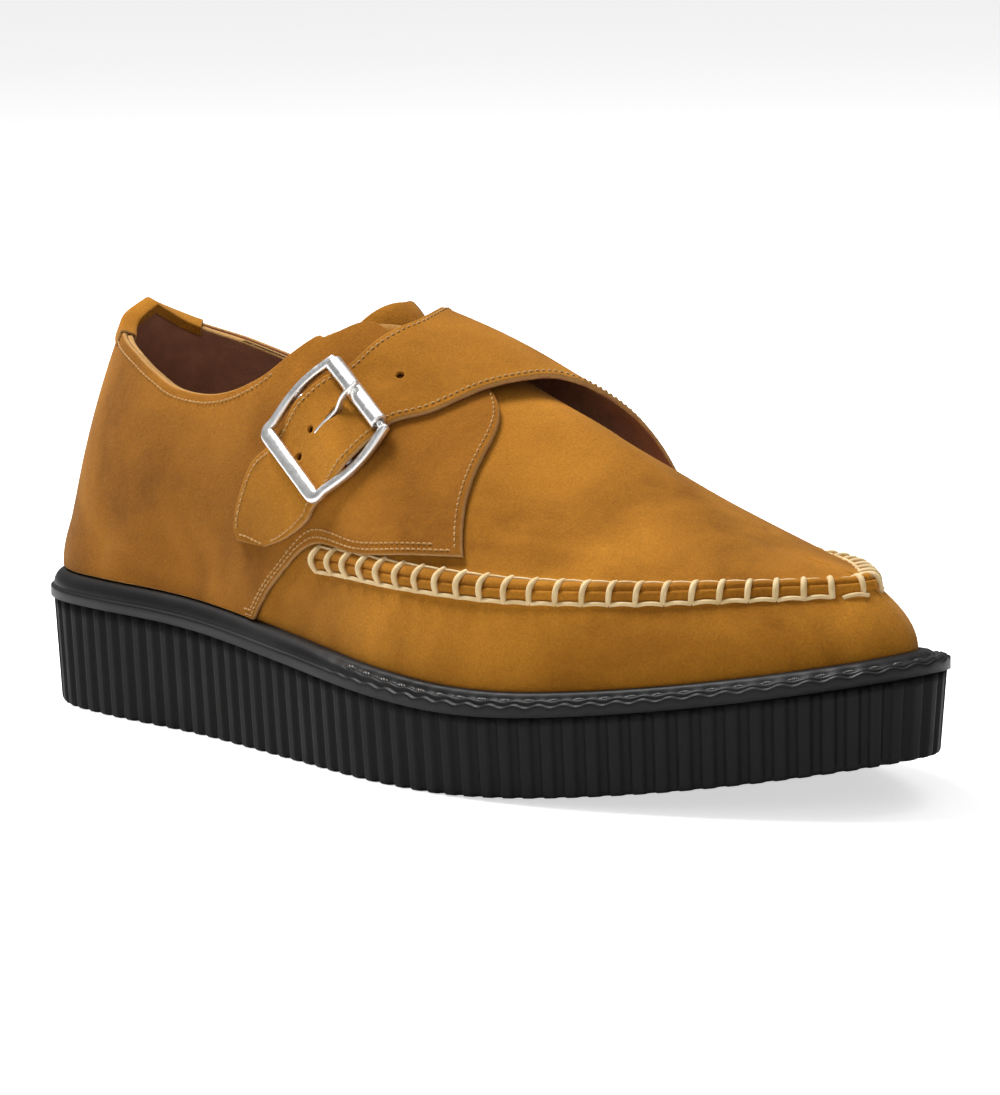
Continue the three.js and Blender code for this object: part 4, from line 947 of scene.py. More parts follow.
def slab(name, outer, under, edge, inside):
    """A closed panel from its two faces, with a rim, and the two facts of suede"""
    rims = [np.stack([outer[0], under[0]]), np.stack([outer[-1], under[-1]]),
            np.stack([outer[:, 0], under[:, 0]]), np.stack([outer[:, -1], under[:, -1]])]
    grids = [outer, under, *rims]
    edges = [edge, np.full(edge.shape, 0.2), *(np.ones(rim.shape[:2]) for rim in rims)]
    insides = [np.zeros(edge.shape), np.full(edge.shape, inside), *(np.zeros(rim.shape[:2]) for rim in rims)]
    return solid(name, grids, {"edge": edges, "inside": insides})


tongue_across = fine_ends(TONGUE_STEPS, TONGUE_EDGE_SHARE) * 2 - 1
tongue_down = fine_ends(TONGUE_STEPS, TONGUE_EDGE_SHARE, last=False)
tongue_girth = np.broadcast_to(TONGUE_HALF * tongue_across, (len(tongue_down), len(tongue_across)))
tongue_top = TONGUE_TOP - TONGUE_ROUNDING * np.abs(tongue_girth)
tongue_along = tongue_top + (TONGUE_END - tongue_top) * tongue_down[:, None]
opening = (1 - collar_up(tongue_along)) * TONGUE_FILL
free = np.where(opening > 0, np.maximum(0, 1 - (tongue_girth / np.maximum(opening, 1e-6)) ** 2), 0)
tongue_rise = 1 - ease(tongue_along, TONGUE_TOP, THROAT)
tongue_under = -UPPER_WALL - TONGUE_GAP - tongue_rise * TONGUE_EASE - PANEL_THICKNESS
tongue_under = tongue_under + (TONGUE_RISE - tongue_under - PANEL_THICKNESS) * free * tongue_rise
tongue_away = np.minimum(tongue_down[:, None] * TONGUE_LONG,
                         (1 - np.abs(tongue_across))[None, :] * TONGUE_HALF_WIDE)
tongue_face = off_last(tongue_along, tongue_girth, tongue_under + PANEL_THICKNESS - edge_drop(tongue_away))
tongue = slab("tongue_flap", tongue_face, off_last(tongue_along, tongue_girth, tongue_under),
              np.exp(-tongue_away / PALE_DEPTH), 1.0)
tongue.data.materials.append(suede("tongue_suede", SUEDE, lining=True))
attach(tongue, "root")
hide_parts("tongue")


# Outer quarter
# The real piece is one panel of suede from the back seam to a free wing under the buckle.
# Its edges are cut raw and pale, and it is sewn down along its low edge in two rows.
OUTER_QUARTER = {
    "row": (0, 0.25, 0.42, 0.52, 0.60, 0.67, 0.74, 0.83, 0.92, 1),
    "top_along": (0, 0.170, 0.280, 0.335, 0.362, 0.393, 0.430, 0.470, 0.512, 0.552),
    "top": (1, 1, 1, 1, 1, 0.735, 0.835, 0.840, 0.855, 0.858),
    "low_along": (0, 0.170, 0.285, 0.348, 0.368, 0.400, 0.440, 0.500, 0.557, 0.611),
    "low": (0, 0, 0, 0, 0.105, 0.235, 0.338, 0.350, 0.395, 0.430),
    "bow": (0, 0, 0, 0, 0, 0, 0, 0.004, 0.012, 0.019),
}
BOW_POWER = 4
BOW_SCALE = 12.2
PANEL_STEPS = 24
PANEL_COLUMNS = 34
PANEL_PALE_DEPTH = 0.32 * MM
EDGE_BAND = 1.1 * MM
CREASE_FADE = (2 * MM, 8 * MM)
QUARTER_ROWS = 150
QUARTER_END_SHARE = 0.0085
# A darker copy of the vamp's suede: painted shade for the outer side, which faces away from the key light.
SHADED_QUARTER_SUEDE = (0.285, 0.105, 0.0085)


def quarter_place(row, share):
    """Where a point of the outer quarter lies: along, girth and how high its under face is"""
    of = {name: column(OUTER_QUARTER, name, row, "row") for name in OUTER_QUARTER if name != "row"}
    top = np.minimum(of["top"], collar_up(of["top_along"]))
    low = np.maximum(of["low"], welt_up(of["low_along"], FIT_GAP))
    bow = of["bow"] * BOW_SCALE * share * (1 - share) ** BOW_POWER
    along = of["top_along"] + (of["low_along"] - of["top_along"]) * share + bow
    return along, top + (low - top) * share - 1, np.full(np.shape(along), PANEL_GAP)


def face_points(place, row, share, outwards):
    along, girth, lift = place(row, share)
    return off_last(along, girth, lift + outwards)


def panel(name, place, rows, inside):
    """A panel of suede on the last with rounded raw edges. place gives its points by row
    and share."""
    steps = np.linspace(0, 1, PANEL_STEPS)
    coarse = face_points(place, *np.meshgrid(rows, steps, indexing="ij"), 0.0)
    width = np.linalg.norm(np.diff(coarse, axis=1), axis=2).sum(1)
    share = np.array([fine_ends(PANEL_COLUMNS, EDGE_BAND / w) for w in width])
    row = np.broadcast_to(rows[:, None], share.shape)
    along, girth, lift = place(row, share)
    face = off_last(along, girth, lift + PANEL_THICKNESS)

    def run_in(points, axis):
        run = np.cumsum(np.linalg.norm(np.diff(points, axis=axis), axis=2), axis=axis)
        pad = [(0, 0), (0, 0)]
        pad[axis] = (1, 0)
        return np.pad(run, pad)

    over, down = run_in(face, 1), run_in(face, 0)
    away = np.minimum(over, over[:, -1:] - over)
    away = np.minimum(away, np.minimum(down, down[-1:] - down))
    lower = crease_depth(along, girth) * ease(away, *CREASE_FADE)
    outer = off_last(along, girth, lift + PANEL_THICKNESS - edge_drop(away) - lower)
    under = off_last(along, girth, lift)
    return slab(name, outer, under, np.exp(-away / PANEL_PALE_DEPTH), inside)


quarter_rows = fine_ends(QUARTER_ROWS, QUARTER_END_SHARE)
# Painted shade: the outer quarter is given the darker copy of the suede, not the vamp's own colour.
quarter_suede = suede("quarter_suede", SHADED_QUARTER_SUEDE)
quarter = panel("outer_quarter", quarter_place, quarter_rows, 0.0)
quarter.data.materials.append(quarter_suede)
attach(quarter, "root")
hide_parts("lateral_quarter")


# Buckle
# The real buckle is cast, plated bright and polished: a square frame whose end bar is flat
# and broad, a tube that rolls on its front rod, and a prong bent round a hidden centre bar.
BUCKLE_LENGTH = 31 * MM
BUCKLE_WIDTH = 32 * MM
PLATE_MIDDLE = 6.2 * MM
PLATE_THICKNESS = 2.6 * MM
END_BAR_WIDTH = 4.4 * MM
SIDE_BAR_WIDTH = 2.6 * MM
SIDE_BAR_BOW = 2.0 * MM
CORNER_RADIUS = 3.6 * MM
CENTRE_BAR_MIDDLE = 5.8 * MM
CENTRE_BAR_THICKNESS = 1.8 * MM
CENTRE_BAR_WIDTH = 2.4 * MM
ROD_RADIUS = 0.9 * MM
ROLLER_BORE = 1.25 * MM
ROLLER_RADIUS = 2.4 * MM
ROLLER_HEIGHT = 7.0 * MM
ROLLER_PLACE = BUCKLE_LENGTH / 2 - ROLLER_RADIUS
PRONG_THICKNESS = 1.0 * MM
PRONG_WIDTH = 2.2 * MM
PRONG_BEND = 6.5 * MM
PRONG_SMOOTHING = 6
PRONG_STEPS = 60
SIDE_STEPS = 22
CORNER_PARTS = 8
ROD_OVERRUN = 0.4 * MM
ROD_SET_IN = 0.6
CENTRE_SET_IN = 0.7
CROSS_STEPS = 9
TUBE_SIDE_GAP = 0.25 * MM
TUBE_CHAMFER = 0.2 * MM
TUBE_ROUNDING = 0.45 * MM
TUBE_STEPS = 49
PLATING = (0.97, 0.97, 0.96)
BUCKLE_CORNERS = ((0.432, -0.284), (0.508, -0.356), (0.454, -0.588), (0.377, -0.490))

corners = bare_skin(*np.array(BUCKLE_CORNERS).T)
buckle_run = corners[0] + corners[1] - corners[2] - corners[3]
buckle_off = np.cross(corners[1] + corners[2] - corners[0] - corners[3], buckle_run)
buckle_run, buckle_off = (v / np.linalg.norm(v) for v in (buckle_run, buckle_off))
buckle_turn = np.stack([buckle_run, np.cross(buckle_off, buckle_run), buckle_off])


def on_buckle(points):
    """From the buckle's own axes, x to the roller, y across, z off the shoe, to the shoe's"""
    return corners.mean(0) + points @ buckle_turn


def bar(path, wide, deep, square=2.6, sides=20):
    """A bar along a path of buckle points: flat across the path's plane, rounded in section,
    with bulged ends. wide and deep are full sizes at each point; square sets how full its
    corners are."""
    path = np.asarray(path, float)
    run = np.gradient(path, axis=0)
    run /= np.linalg.norm(run, axis=1, keepdims=True)
    flat = np.cross(np.array([0, 0, 1.0]) if abs(run[:, 2]).max() < 0.95 else np.array([0, 1.0, 0]), run)
    flat /= np.linalg.norm(flat, axis=1, keepdims=True)
    off = np.cross(run, flat)
    turn = np.linspace(0, 2 * math.pi, sides + 1)
    x = np.sign(np.cos(turn)) * np.abs(np.cos(turn)) ** (2 / square) / 2
    y = np.sign(np.sin(turn)) * np.abs(np.sin(turn)) ** (2 / square) / 2
    wide, deep = (np.broadcast_to(size, len(path))[:, None, None] for size in (wide, deep))
    rings = path[:, None] + flat[:, None] * x[None, :, None] * wide + off[:, None] * y[None, :, None] * deep
    rings[:, -1] = rings[:, 0]
    caps = []
    for ring, middle, way in ((rings[0], path[0], -run[0]), (rings[-1], path[-1], run[-1])):
        bulge = min(wide.min(), deep.min()) * 0.3
        steps = [middle + (ring - middle) * math.cos(t) + way * bulge * math.sin(t)
                 for t in np.linspace(0, math.pi / 2, 6)]
        caps.append(np.array(steps))
    return [on_buckle(grid) for grid in [rings, *caps]]


def frame_path():
    """The frame's middle line, from one end of the rod round the end bar to the other"""
    half = BUCKLE_WIDTH / 2 - SIDE_BAR_WIDTH / 2
    end = -BUCKLE_LENGTH / 2 + END_BAR_WIDTH / 2
    radius = CORNER_RADIUS - SIDE_BAR_WIDTH / 2
    side = np.linspace(ROLLER_PLACE + ROD_OVERRUN, end + radius, SIDE_STEPS)[:-1]
    share = (side - side[-1]) / (side[0] - side[-1])
    bow = SIDE_BAR_BOW * np.sin(math.pi * share)
    one = np.stack([side, -half - bow, np.zeros(len(side))], -1)
    turn = np.linspace(0, math.pi / 2, CORNER_PARTS)
    corner = np.stack([end + radius - radius * np.sin(turn), -half + radius - radius * np.cos(turn),
                       0 * turn], -1)
    bar_line = np.linspace(-half + radius, 0, CORNER_PARTS)[1:]
    bar_part = np.stack([np.full(len(bar_line), end), bar_line, 0 * bar_line], -1)
    first = np.concatenate([one, corner, bar_part])
    second = first[::-1][1:] * np.array([1, -1, 1])
    return np.concatenate([first, second])


def polished(name, colour, roughness):
    """Bright plated metal: nearly mirror smooth, with fine rubbing marks and soft casting waves"""
    material, shader, node, join = new_material(name)
    place = node("ShaderNodeTexCoord").outputs["Object"]
    marks = node("ShaderNodeTexNoise", Vector=place, Scale=420.0, Detail=5.0, Distortion=1.5)
    waves = node("ShaderNodeTexNoise", Vector=place, Scale=130.0, Detail=1.0)
    tone = mixed(node, marks.outputs[0], shade(colour, 0.93), shade(colour, 1))
    join(tone, shader.inputs["Base Color"])
    gloss = ranged(node, marks.outputs[0], 0.3, 0.75, roughness * 0.8, roughness * 1.3)
    join(gloss, shader.inputs["Roughness"])
    shader.inputs["Metallic"].default_value = 1.0
    bump = node("ShaderNodeBump", Strength=0.25, Distance=0.12 * MM, Height=waves.outputs[0])
    join(bump.outputs[0], shader.inputs["Normal"])
    return material


rim_path = frame_path() + np.array([0, 0, PLATE_MIDDLE])
from_end = np.clip((rim_path[:, 0] + BUCKLE_LENGTH / 2) / (CORNER_RADIUS * 1.3), 0, 1)
rim_wide = END_BAR_WIDTH + (SIDE_BAR_WIDTH - END_BAR_WIDTH) * ease(from_end, 0.35, 1)


def cross_line(along, set_in, height):
    """A straight line across the buckle, set in by a share of the side bars' width"""
    half = BUCKLE_WIDTH / 2 - SIDE_BAR_WIDTH * set_in
    return np.stack([np.full(CROSS_STEPS, along), np.linspace(-half, half, CROSS_STEPS),
                     np.full(CROSS_STEPS, height)], -1)


rod = cross_line(ROLLER_PLACE, ROD_SET_IN, ROLLER_HEIGHT)
centre = cross_line(0.0, CENTRE_SET_IN, CENTRE_BAR_MIDDLE)
buckle = solid("buckle_square_frame", bar(rim_path, rim_wide, PLATE_THICKNESS, sides=28)
               + bar(rod, 2 * ROD_RADIUS, 2 * ROD_RADIUS, 2)
               + bar(centre, CENTRE_BAR_WIDTH, CENTRE_BAR_THICKNESS))
buckle.data.materials.append(polished("bright_plated_frame", PLATING, 0.34))
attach(buckle, "root")
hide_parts("buckle_frame")

roller_half = BUCKLE_WIDTH / 2 - SIDE_BAR_WIDTH - TUBE_SIDE_GAP
profile = [(ROLLER_BORE, -roller_half + TUBE_CHAMFER), (ROLLER_BORE + TUBE_CHAMFER, -roller_half)]
profile += [(ROLLER_RADIUS - TUBE_ROUNDING * (1 - math.sin(t)),
             -roller_half + TUBE_ROUNDING * (1 - math.cos(t))) for t in np.linspace(0, math.pi / 2, 6)]
profile += [(radius, -place) for radius, place in profile[::-1]]
profile.append(profile[0])
turns = np.linspace(0, 2 * math.pi, TUBE_STEPS)
turns[-1] = 0
roller_grid = np.array([[(ROLLER_PLACE + r * math.cos(t), y, ROLLER_HEIGHT + r * math.sin(t))
                         for r, y in profile] for t in turns])
roller = solid("buckle_rolling_tube", [on_buckle(roller_grid)])
roller.data.materials.append(polished("bright_plated_tube", PLATING, 0.30))
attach(roller, "root")
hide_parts("buckle_roller")


def prong_path(from_hook):
    """The prong's middle line, from its hook on the centre bar to its tip on the roller"""
    bar_top = CENTRE_BAR_MIDDLE + CENTRE_BAR_THICKNESS / 2
    hook = CENTRE_BAR_WIDTH / 2 + FIT_GAP + PRONG_THICKNESS / 2
    over = bar_top + FIT_GAP + PRONG_THICKNESS / 2
    rest = ROLLER_HEIGHT + ROLLER_RADIUS + FIT_GAP + PRONG_THICKNESS / 2
    corner = PRONG_THICKNESS / 2
    bend = [(-hook, bar_top - CENTRE_BAR_THICKNESS + FIT_GAP), (-hook, bar_top), (corner - hook, over)]
    rise = [(hook, over), (PRONG_BEND, over), (ROLLER_PLACE - ROLLER_RADIUS - FIT_GAP, rest - FIT_GAP)]
    end = [(ROLLER_PLACE, rest), (ROLLER_PLACE + ROLLER_RADIUS, rest - FIT_GAP)]
    knots = np.array([(x, 0, z) for x, z in (bend if from_hook else []) + rise + end])
    places = np.linspace(0, len(knots) - 1, PRONG_STEPS)
    whole = np.stack([np.interp(places, np.arange(len(knots)), knots[:, k]) for k in range(3)], -1)
    smoothed = whole.copy()
    for _ in range(PRONG_SMOOTHING):
        smoothed[1:-1] = (smoothed[:-2] + 2 * smoothed[1:-1] + smoothed[2:]) / 4
    return smoothed


prong_line = prong_path(True)
prong_wide = PRONG_WIDTH * (1 - 0.1 * ease(prong_line[:, 0], 6 * MM, ROLLER_PLACE + ROLLER_RADIUS))
prong = solid("buckle_prong_pin", bar(prong_line, prong_wide, PRONG_THICKNESS * 1.1, 2.4, 16))
prong.data.materials.append(polished("bright_plated_prong", PLATING, 0.34))
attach(prong, "root")
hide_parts("buckle_prong")


# Inner quarter and strap
# The real piece is one panel of suede from the back seam, over the instep and through the
# buckle to a rounded tip. It is punched with a row of holes, and the prong is in one.
STRAP = {
    "row": (0, 0.18, 0.29, 0.35, 0.38, 0.41, 0.44, 0.47, 0.50, 0.53, 0.56, 0.59, 0.61, 0.64, 0.67, 0.70,
            0.73, 0.76, 0.80, 0.83, 0.87, 0.90, 0.93, 0.95, 0.98, 1),
    "rear_along": (0.0006, 0.1700, 0.2800, 0.3350, 0.3620, 0.3780, 0.3900, 0.4020, 0.4150, 0.4280,
                   0.4400, 0.4490, 0.4570, 0.4620, 0.4630, 0.4570, 0.4490, 0.4400, 0.4260, 0.4125,
                   0.3990, 0.3850, 0.3640, 0.3530, 0.3475, 0.3520),
    "rear_girth": (0.300, 0.400, 0.460, 0.420, 0.370, 0.320, 0.280, 0.250, 0.228, 0.205, 0.150, 0.085,
                   0.030, -0.030, -0.085, -0.150, -0.215, -0.290, -0.344, -0.396, -0.448, -0.500,
                   -0.545, -0.600, -0.648, -0.677),
    "front_along": (0.0006, 0.1700, 0.2900, 0.3650, 0.3880, 0.4120, 0.4360, 0.4700, 0.5450, 0.6180,
                    0.6120, 0.6050, 0.5970, 0.5890, 0.5770, 0.5530, 0.5290, 0.5010, 0.4925, 0.4805,
                    0.4655, 0.4460, 0.4410, 0.4280, 0.4080, 0.3880),
    "front_girth": (1, 1, 1, 1, 0.860, 0.775, 0.701, 0.620, 0.594, 0.556, 0.450, 0.320, 0.220, 0.080,
                    -0.055, -0.180, -0.282, -0.348, -0.405, -0.463, -0.520, -0.578, -0.605, -0.635,
                    -0.664, -0.682),
}
STRAP_LEAVE = 0.47
STRAP_LIFT = {
    "row": (0, 0.44, 0.50, 0.53, 0.56, 0.59, 0.61, 0.64, 0.67, 0.70, 0.73, 0.76, 0.78, 0.80, 0.82, 0.84,
            0.86, 0.88, 0.90, 1),
    "rear": (0, 0, 0.10, 0.50, 1.00, 1.30, 1.30, 1.25, 1.25, 1.25, 1.25, 1.25, 1.60, 2.70, 3.05, 3.05,
             2.30, 1.40, 1.25, 1.25),
    "front": (0, 0, 0, 1.80, 5.00, 5.90, 5.10, 3.30, 2.10, 1.50, 1.30, 1.25, 1.60, 2.70, 3.05, 3.05,
              2.30, 1.40, 1.25, 1.25),
    "crown": (0, 0, 0.20, 0.60, 1.00, 1.00, 1.00, 0.90, 0.70, 0.30, 0, 0, 0, 0, 0, 0, 0, 0, 0, 0),
}
STRAP_HOLES = ((0.487, -0.252), (0.433, -0.444), (0.422, -0.500))
HOLE_RADIUS = 1.1 * MM
PUNCH_REACH = (-1.0 * MM, 14.0 * MM)
PUNCH_STEPS = 33
STRAP_ROWS = 230
STRAP_END_SHARE = 0.0042
SLOT_CLEARANCE = 0.35 * MM


def strap_place(row, share):
    """Where a point of the inner quarter and strap lies, as for the outer quarter"""
    of = {name: column(STRAP, name, row, "row") for name in STRAP if name != "row"}
    rear = np.where(row < STRAP_LEAVE, 1 - collar_up(of["rear_along"]), of["rear_girth"])
    front = np.minimum(of["front_girth"], 1 - welt_up(of["front_along"], FIT_GAP))
    lifts = {name: column(STRAP_LIFT, name, row, "row") for name in ("rear", "front", "crown")}
    arch = lifts["crown"] * np.sin(math.pi * share)
    lift = (lifts["rear"] + (lifts["front"] - lifts["rear"]) * share + arch) * PANEL_THICKNESS
    along = of["rear_along"] + (of["front_along"] - of["rear_along"]) * share
    return along, rear + (front - rear) * share, PANEL_GAP + np.maximum(lift, 0)


def cut(piece, cutters):
    """Cuts closed shapes out of a piece and keeps the result as a plain mesh"""
    for cutter in cutters:
        modifier = piece.modifiers.new("cut", "BOOLEAN")
        modifier.object, modifier.operation, modifier.solver = cutter, "DIFFERENCE", "EXACT"
    keep_result(piece)
    for cutter in cutters:
        bpy.data.objects.remove(cutter)


def punch(along, girth):
    """A round punch through the strap, square to it"""
    along, girth = np.array([along]), np.array([girth])
    low, high = (off_last(along, girth, height)[0] for height in PUNCH_REACH)
    axis = (high - low) / np.linalg.norm(high - low)
    flat = np.cross(axis, [1.0, 0, 0])
    flat /= np.linalg.norm(flat)
    other = np.cross(axis, flat)
    turn = np.linspace(0, 2 * math.pi, PUNCH_STEPS)
    turn[-1] = 0
    ring = HOLE_RADIUS * (np.cos(turn)[:, None] * flat + np.sin(turn)[:, None] * other)
    foot, head = np.tile(low, (len(ring), 1)), np.tile(high, (len(ring), 1))
    return solid("punch", [np.array([foot, low + ring, high + ring, head])])


strap_rows = fine_ends(STRAP_ROWS, STRAP_END_SHARE)
strap_suede = suede("strap_suede", SUEDE, lining=True)
strap = panel("inner_quarter_and_strap", strap_place, strap_rows, 1.0)
slot_line = prong_path(False)
slot = solid("prong_slot", bar(slot_line, PRONG_WIDTH + 2 * SLOT_CLEARANCE,
                               PRONG_THICKNESS + 2 * SLOT_CLEARANCE, 2.4, 16))
cut(strap, [punch(*place) for place in STRAP_HOLES] + [slot])
strap.data.materials.clear()
strap.data.materials.append(strap_suede)
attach(strap, "root")
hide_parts("medial_quarter_strap")


# Edge stitches
# The real stitches are fine tan thread, machine sewn a little inside the cut edges: one
# row along the free edges, two along the edges that are sewn down.
TAN_THREAD = (0.520, 0.300, 0.100)
EDGE_PITCH = 1.8 * MM
EDGE_INSET = 1.9 * MM
SECOND_INSET = 4.1 * MM


def sewn_line(place, rows, shares):
    """Stitch places, evenly spaced on a panel's face along a line of rows and shares"""
    here, above = (face_points(place, rows, shares, PANEL_THICKNESS + height) for height in (0.0, MM))
    run = np.concatenate([[0], np.cumsum(np.linalg.norm(np.diff(here, axis=0), axis=1))])
    count = max(int(run[-1] / EDGE_PITCH), 1)
    at = (np.arange(count) + 0.5) / count * run[-1]
    def pick(grid):
        return np.stack([np.interp(at, run, grid[:, k]) for k in range(3)], -1)

    return pick(here), pick(np.gradient(here, axis=0)), pick(above - here)


def along_edge(place, first, last, inset, far=False):
    """A sewn line at an inset from a panel's first or far edge, between two rows"""
    rows = np.linspace(first, last, 160)
    ends = [face_points(place, rows, np.full(160, share), 0.0) for share in np.linspace(0, 1, 9)]
    width = sum(np.linalg.norm(b - a, axis=1) for a, b in zip(ends, ends[1:]))
    share = inset / width
    return sewn_line(place, rows, 1 - share if far else share)


def across_end(place, inset, first, last):
    """A sewn line at an inset from a panel's last row, from one share to another"""
    shares = np.linspace(first, last, 80)
    edge, behind = (face_points(place, np.full(80, row), shares, 0.0) for row in (1.0, 0.985))
    step = 0.015 * inset / np.linalg.norm(edge - behind, axis=1)
    return sewn_line(place, 1 - step, shares)


edge_tree = stitch_tree("edge_stitch", thread("tan_thread", TAN_THREAD, 0.7))
fine = dict(stitch_length=1.15 * MM, thread=0.50 * MM, rise=0.20 * MM, sunk=0.20 * MM, unevenness=0.08)
quarter_lines = [
    along_edge(quarter_place, 0.02, 0.60, EDGE_INSET),
    along_edge(quarter_place, 0.545, 0.985, EDGE_INSET, far=True),
    along_edge(quarter_place, 0.545, 0.96, SECOND_INSET, far=True),
    across_end(quarter_place, EDGE_INSET, 0.05, 0.96),
]
stitches("outer_quarter_stitches", edge_tree, *joined(quarter_lines), "suede_quarter", seed=7, **fine)
strap_lines = [
    along_edge(strap_place, 0.02, 0.985, EDGE_INSET),
    along_edge(strap_place, 0.56, 0.985, EDGE_INSET, far=True),
    along_edge(strap_place, 0.34, 0.525, EDGE_INSET, far=True),
    along_edge(strap_place, 0.34, 0.52, SECOND_INSET, far=True),
    across_end(strap_place, EDGE_INSET, 0.15, 0.85),
]
stitches("strap_stitches", edge_tree, *joined(strap_lines), "suede_strap", seed=8, **fine)


# Heel tab
# The real piece is a short strip of suede, folded over the collar to cover the top of the
# back seam and stitched through.
TAB_REACH = 0.1
TAB_THICKNESS = 0.6 * MM
TAB_GAP = 0.1 * MM
TAB_OVER_COLLAR = 0.15 * MM
TAB_DROP_OUTSIDE = 4.0 * MM
TAB_DROP_INSIDE = 2.4 * MM
TAB_ROUNDING = 0.35 * MM
TAB_FOLD = 0.4
FOLD_FULLNESS = 0.7
TAB_STEPS = (60, 70)
TAB_EDGE_SHARES = (0.008, 0.045)
TAB_HALF_SIZES = (35 * MM, 8 * MM)
SECTION_FULLNESS = 1.4


def tab_grid(alongs, runs, depth):
    """The tab's outer face, or its under face at a depth, as it folds over the collar. runs
    goes from -1 at its outside edge over the fold, within TAB_FOLD of 0, to 1 inside."""
    outside = PANEL_GAP + PANEL_THICKNESS + TAB_GAP + TAB_THICKNESS - depth
    inside = -UPPER_WALL - TAB_GAP - TAB_THICKNESS + depth
    rise = TAB_OVER_COLLAR + TAB_THICKNESS - depth
    turn = np.clip((runs + TAB_FOLD) / (2 * TAB_FOLD), 0, 1) * math.pi
    leg = np.clip((np.abs(runs) - TAB_FOLD) / (1 - TAB_FOLD), 0, 1)
    drop = np.where(runs < 0, TAB_DROP_OUTSIDE, TAB_DROP_INSIDE)
    climb = np.where(leg > 0, -drop * leg, rise * np.sin(turn) ** FOLD_FULLNESS)
    middle, half = (outside + inside) / 2, (outside - inside) / 2
    outwards = middle + half * np.sign(np.cos(turn)) * np.abs(np.cos(turn)) ** FOLD_FULLNESS
    full = INSTEP_HEIGHT * RIDGE["top"][0] * SECTION_FULLNESS
    up = collar_up(np.abs(alongs))[:, None] + climb[None, :] / full
    return off_last(np.broadcast_to(alongs[:, None], up.shape), up - 1, np.broadcast_to(outwards, up.shape))


tab_across, tab_runs = (fine_ends(*sizes) * 2 - 1 for sizes in zip(TAB_STEPS, TAB_EDGE_SHARES))
tab_along = tab_across * TAB_REACH
tab_away = np.minimum((1 - np.abs(tab_across))[:, None] * TAB_HALF_SIZES[0],
                      (1 - np.abs(tab_runs))[None, :] * TAB_HALF_SIZES[1])
tab_top, tab_low = (tab_grid(tab_along, tab_runs, depth) for depth in (0.0, TAB_THICKNESS))
sink = (edge_drop(tab_away, TAB_ROUNDING) / TAB_THICKNESS)[..., None]
tab_top = tab_top + (tab_low - tab_top) * sink
tab = slab("heel_tab_fold", tab_top, tab_low, np.exp(-tab_away / PALE_DEPTH), 0.0)
tab.data.materials.append(suede("heel_tab_suede", SUEDE))
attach(tab, "root")
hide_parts("heel_tab")


# Studio
# A plain white floor and a white room, a large soft light from the heel's side above, a
# fill from the toe's side, and a camera at the photograph's angle, aimed at the one shoe.
PHOTO_TURN = math.radians(41.156)
PHOTO_RISE = math.radians(8.177)
PHOTO_ROLL = math.radians(-0.39)
PHOTO_FOCUS = 4050.61
PHOTO_WIDTH, PHOTO_HEIGHT = 1000.0, 1095.0
POINT_SEEN = Vector((341.196, 606.266))
POINT_HEIGHT = 0.040
POINT_DEPTH = 1.492094
SHOE_SEEN = Vector((357.5, 569.0))
ZOOM = 1.38
SENSOR = 36.0
FLOOR_GLOW = 0.62
ROOM_GLOW = 0.26

back = Vector((math.sin(PHOTO_TURN) * math.cos(PHOTO_RISE),
               -math.cos(PHOTO_TURN) * math.cos(PHOTO_RISE), math.sin(PHOTO_RISE)))
right = Vector((math.cos(PHOTO_TURN), math.sin(PHOTO_TURN), 0))
over = back.cross(right)
right, over = (right * math.cos(PHOTO_ROLL) + over * math.sin(PHOTO_ROLL),
               over * math.cos(PHOTO_ROLL) - right * math.sin(PHOTO_ROLL))
middle = Vector((PHOTO_WIDTH / 2, PHOTO_HEIGHT / 2))
shift = (POINT_SEEN - middle) / PHOTO_FOCUS * POINT_DEPTH
eye = Vector((0, 0, POINT_HEIGHT)) + back * POINT_DEPTH - right * shift.x + over * shift.y
seen = (SHOE_SEEN - middle) / PHOTO_FOCUS
aim = (right * seen.x - over * seen.y - back).normalized()
turned = back.rotation_difference(-aim).to_matrix()
axes = Matrix([turned @ right, turned @ over, turned @ back]).transposed().to_4x4()
axes.translation = eye
camera_data = bpy.data.cameras.new("camera")
camera_data.sensor_width = SENSOR
camera_data.lens = PHOTO_FOCUS / PHOTO_HEIGHT * SENSOR * ZOOM
camera_data.clip_end = 50
camera = bpy.data.objects.new("camera", camera_data)
camera.matrix_world = axes
bpy.context.scene.collection.objects.link(camera)
bpy.context.scene.camera = camera

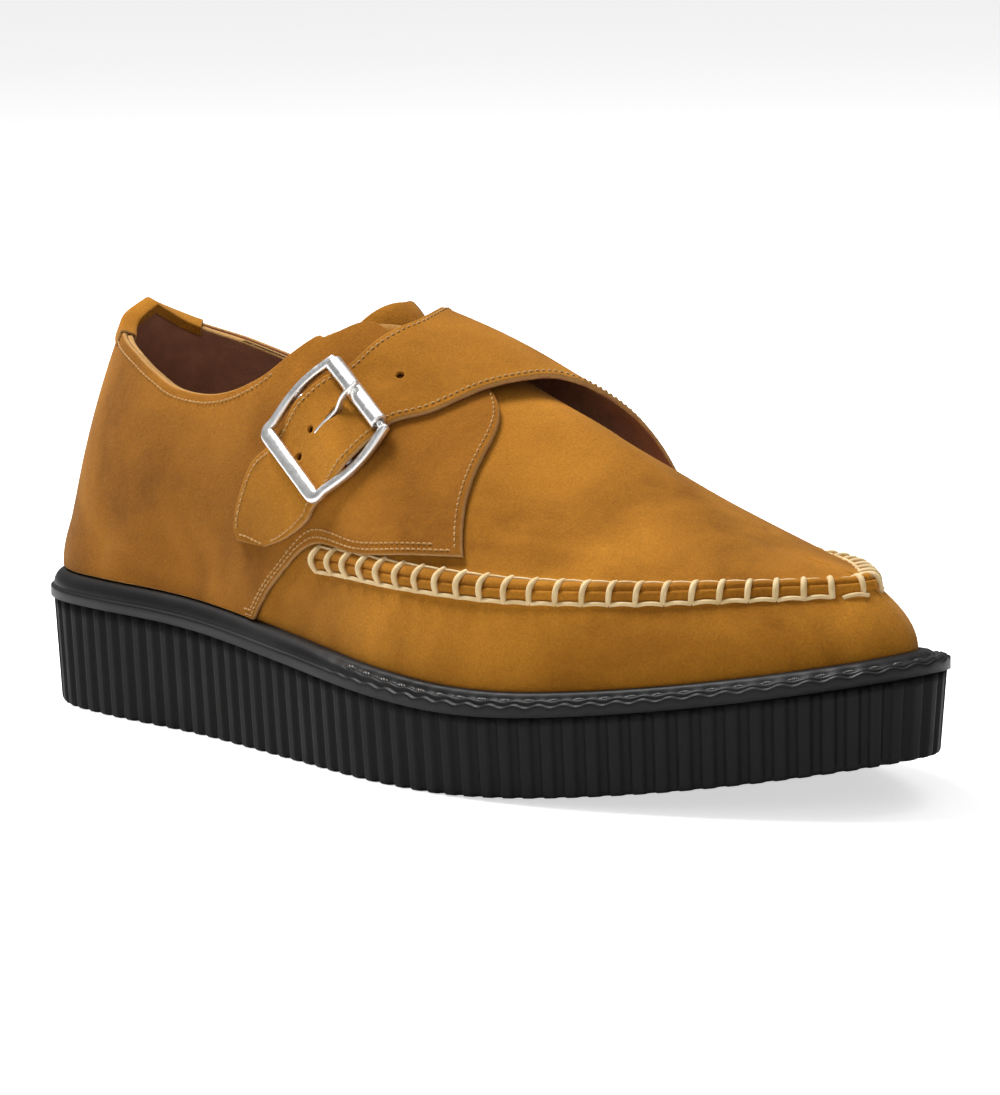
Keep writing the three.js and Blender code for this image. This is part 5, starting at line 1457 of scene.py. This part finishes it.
bpy.ops.mesh.primitive_plane_add(size=24)
floor = bpy.context.object
floor.name = "studio_floor"
floor_material, floor_shader, floor_node, floor_join = new_material("white_floor")
floor_place = floor_node("ShaderNodeTexCoord").outputs["Object"]
floor_cloud = floor_node("ShaderNodeTexNoise", Vector=floor_place, Scale=3.0)
floor_tone = mixed(floor_node, floor_cloud.outputs[0], (0.90, 0.90, 0.90, 1), (0.92, 0.92, 0.92, 1))
floor_join(floor_tone, floor_shader.inputs["Base Color"])
floor_shader.inputs["Roughness"].default_value = 0.9
floor_shader.inputs["Specular IOR Level"].default_value = 0.1
floor_shader.inputs["Emission Color"].default_value = (1, 1, 1, 1)
floor_seen = floor_node("ShaderNodeLightPath")
floor_glow = floor_node("ShaderNodeMath", {"operation": "MULTIPLY"},
                        _0=floor_seen.outputs["Is Camera Ray"], _1=FLOOR_GLOW)
floor_join(floor_glow.outputs[0], floor_shader.inputs["Emission Strength"])
floor.data.materials.append(floor_material)


def soft_light(name, place, size, power):
    """A square white lamp that faces the shoe"""
    data = bpy.data.lights.new(name, "AREA")
    data.shape, data.size, data.energy = "SQUARE", size, power
    lamp = bpy.data.objects.new(name, data)
    lamp.location = place
    lamp.rotation_euler = (Vector((0, 0, 0.05)) - Vector(place)).to_track_quat("-Z", "Y").to_euler()
    bpy.context.scene.collection.objects.link(lamp)


soft_light("key_light", (-0.60, -0.15, 1.50), 0.6, 34.0)
soft_light("fill_light", (0.9, -1.5, 0.9), 1.0, 4.0)
soft_light("top_light", (0.2, 0.6, 1.6), 1.2, 6.0)
room = bpy.data.worlds.new("white_room")
room.use_nodes = True
room_light = room.node_tree.nodes["Background"]
seen_directly = room.node_tree.nodes.new("ShaderNodeLightPath")
room_strength = room.node_tree.nodes.new("ShaderNodeMapRange")
room_strength.inputs["To Min"].default_value = ROOM_GLOW
room_strength.inputs["To Max"].default_value = 1.0
room.node_tree.links.new(seen_directly.outputs["Is Camera Ray"], room_strength.inputs["Value"])
room.node_tree.links.new(room_strength.outputs[0], room_light.inputs["Strength"])
room_light.inputs["Color"].default_value = (1, 1, 1, 1)
bpy.context.scene.world = room
bpy.context.scene.view_settings.view_transform = "Standard"

bpy.context.view_layer.update()
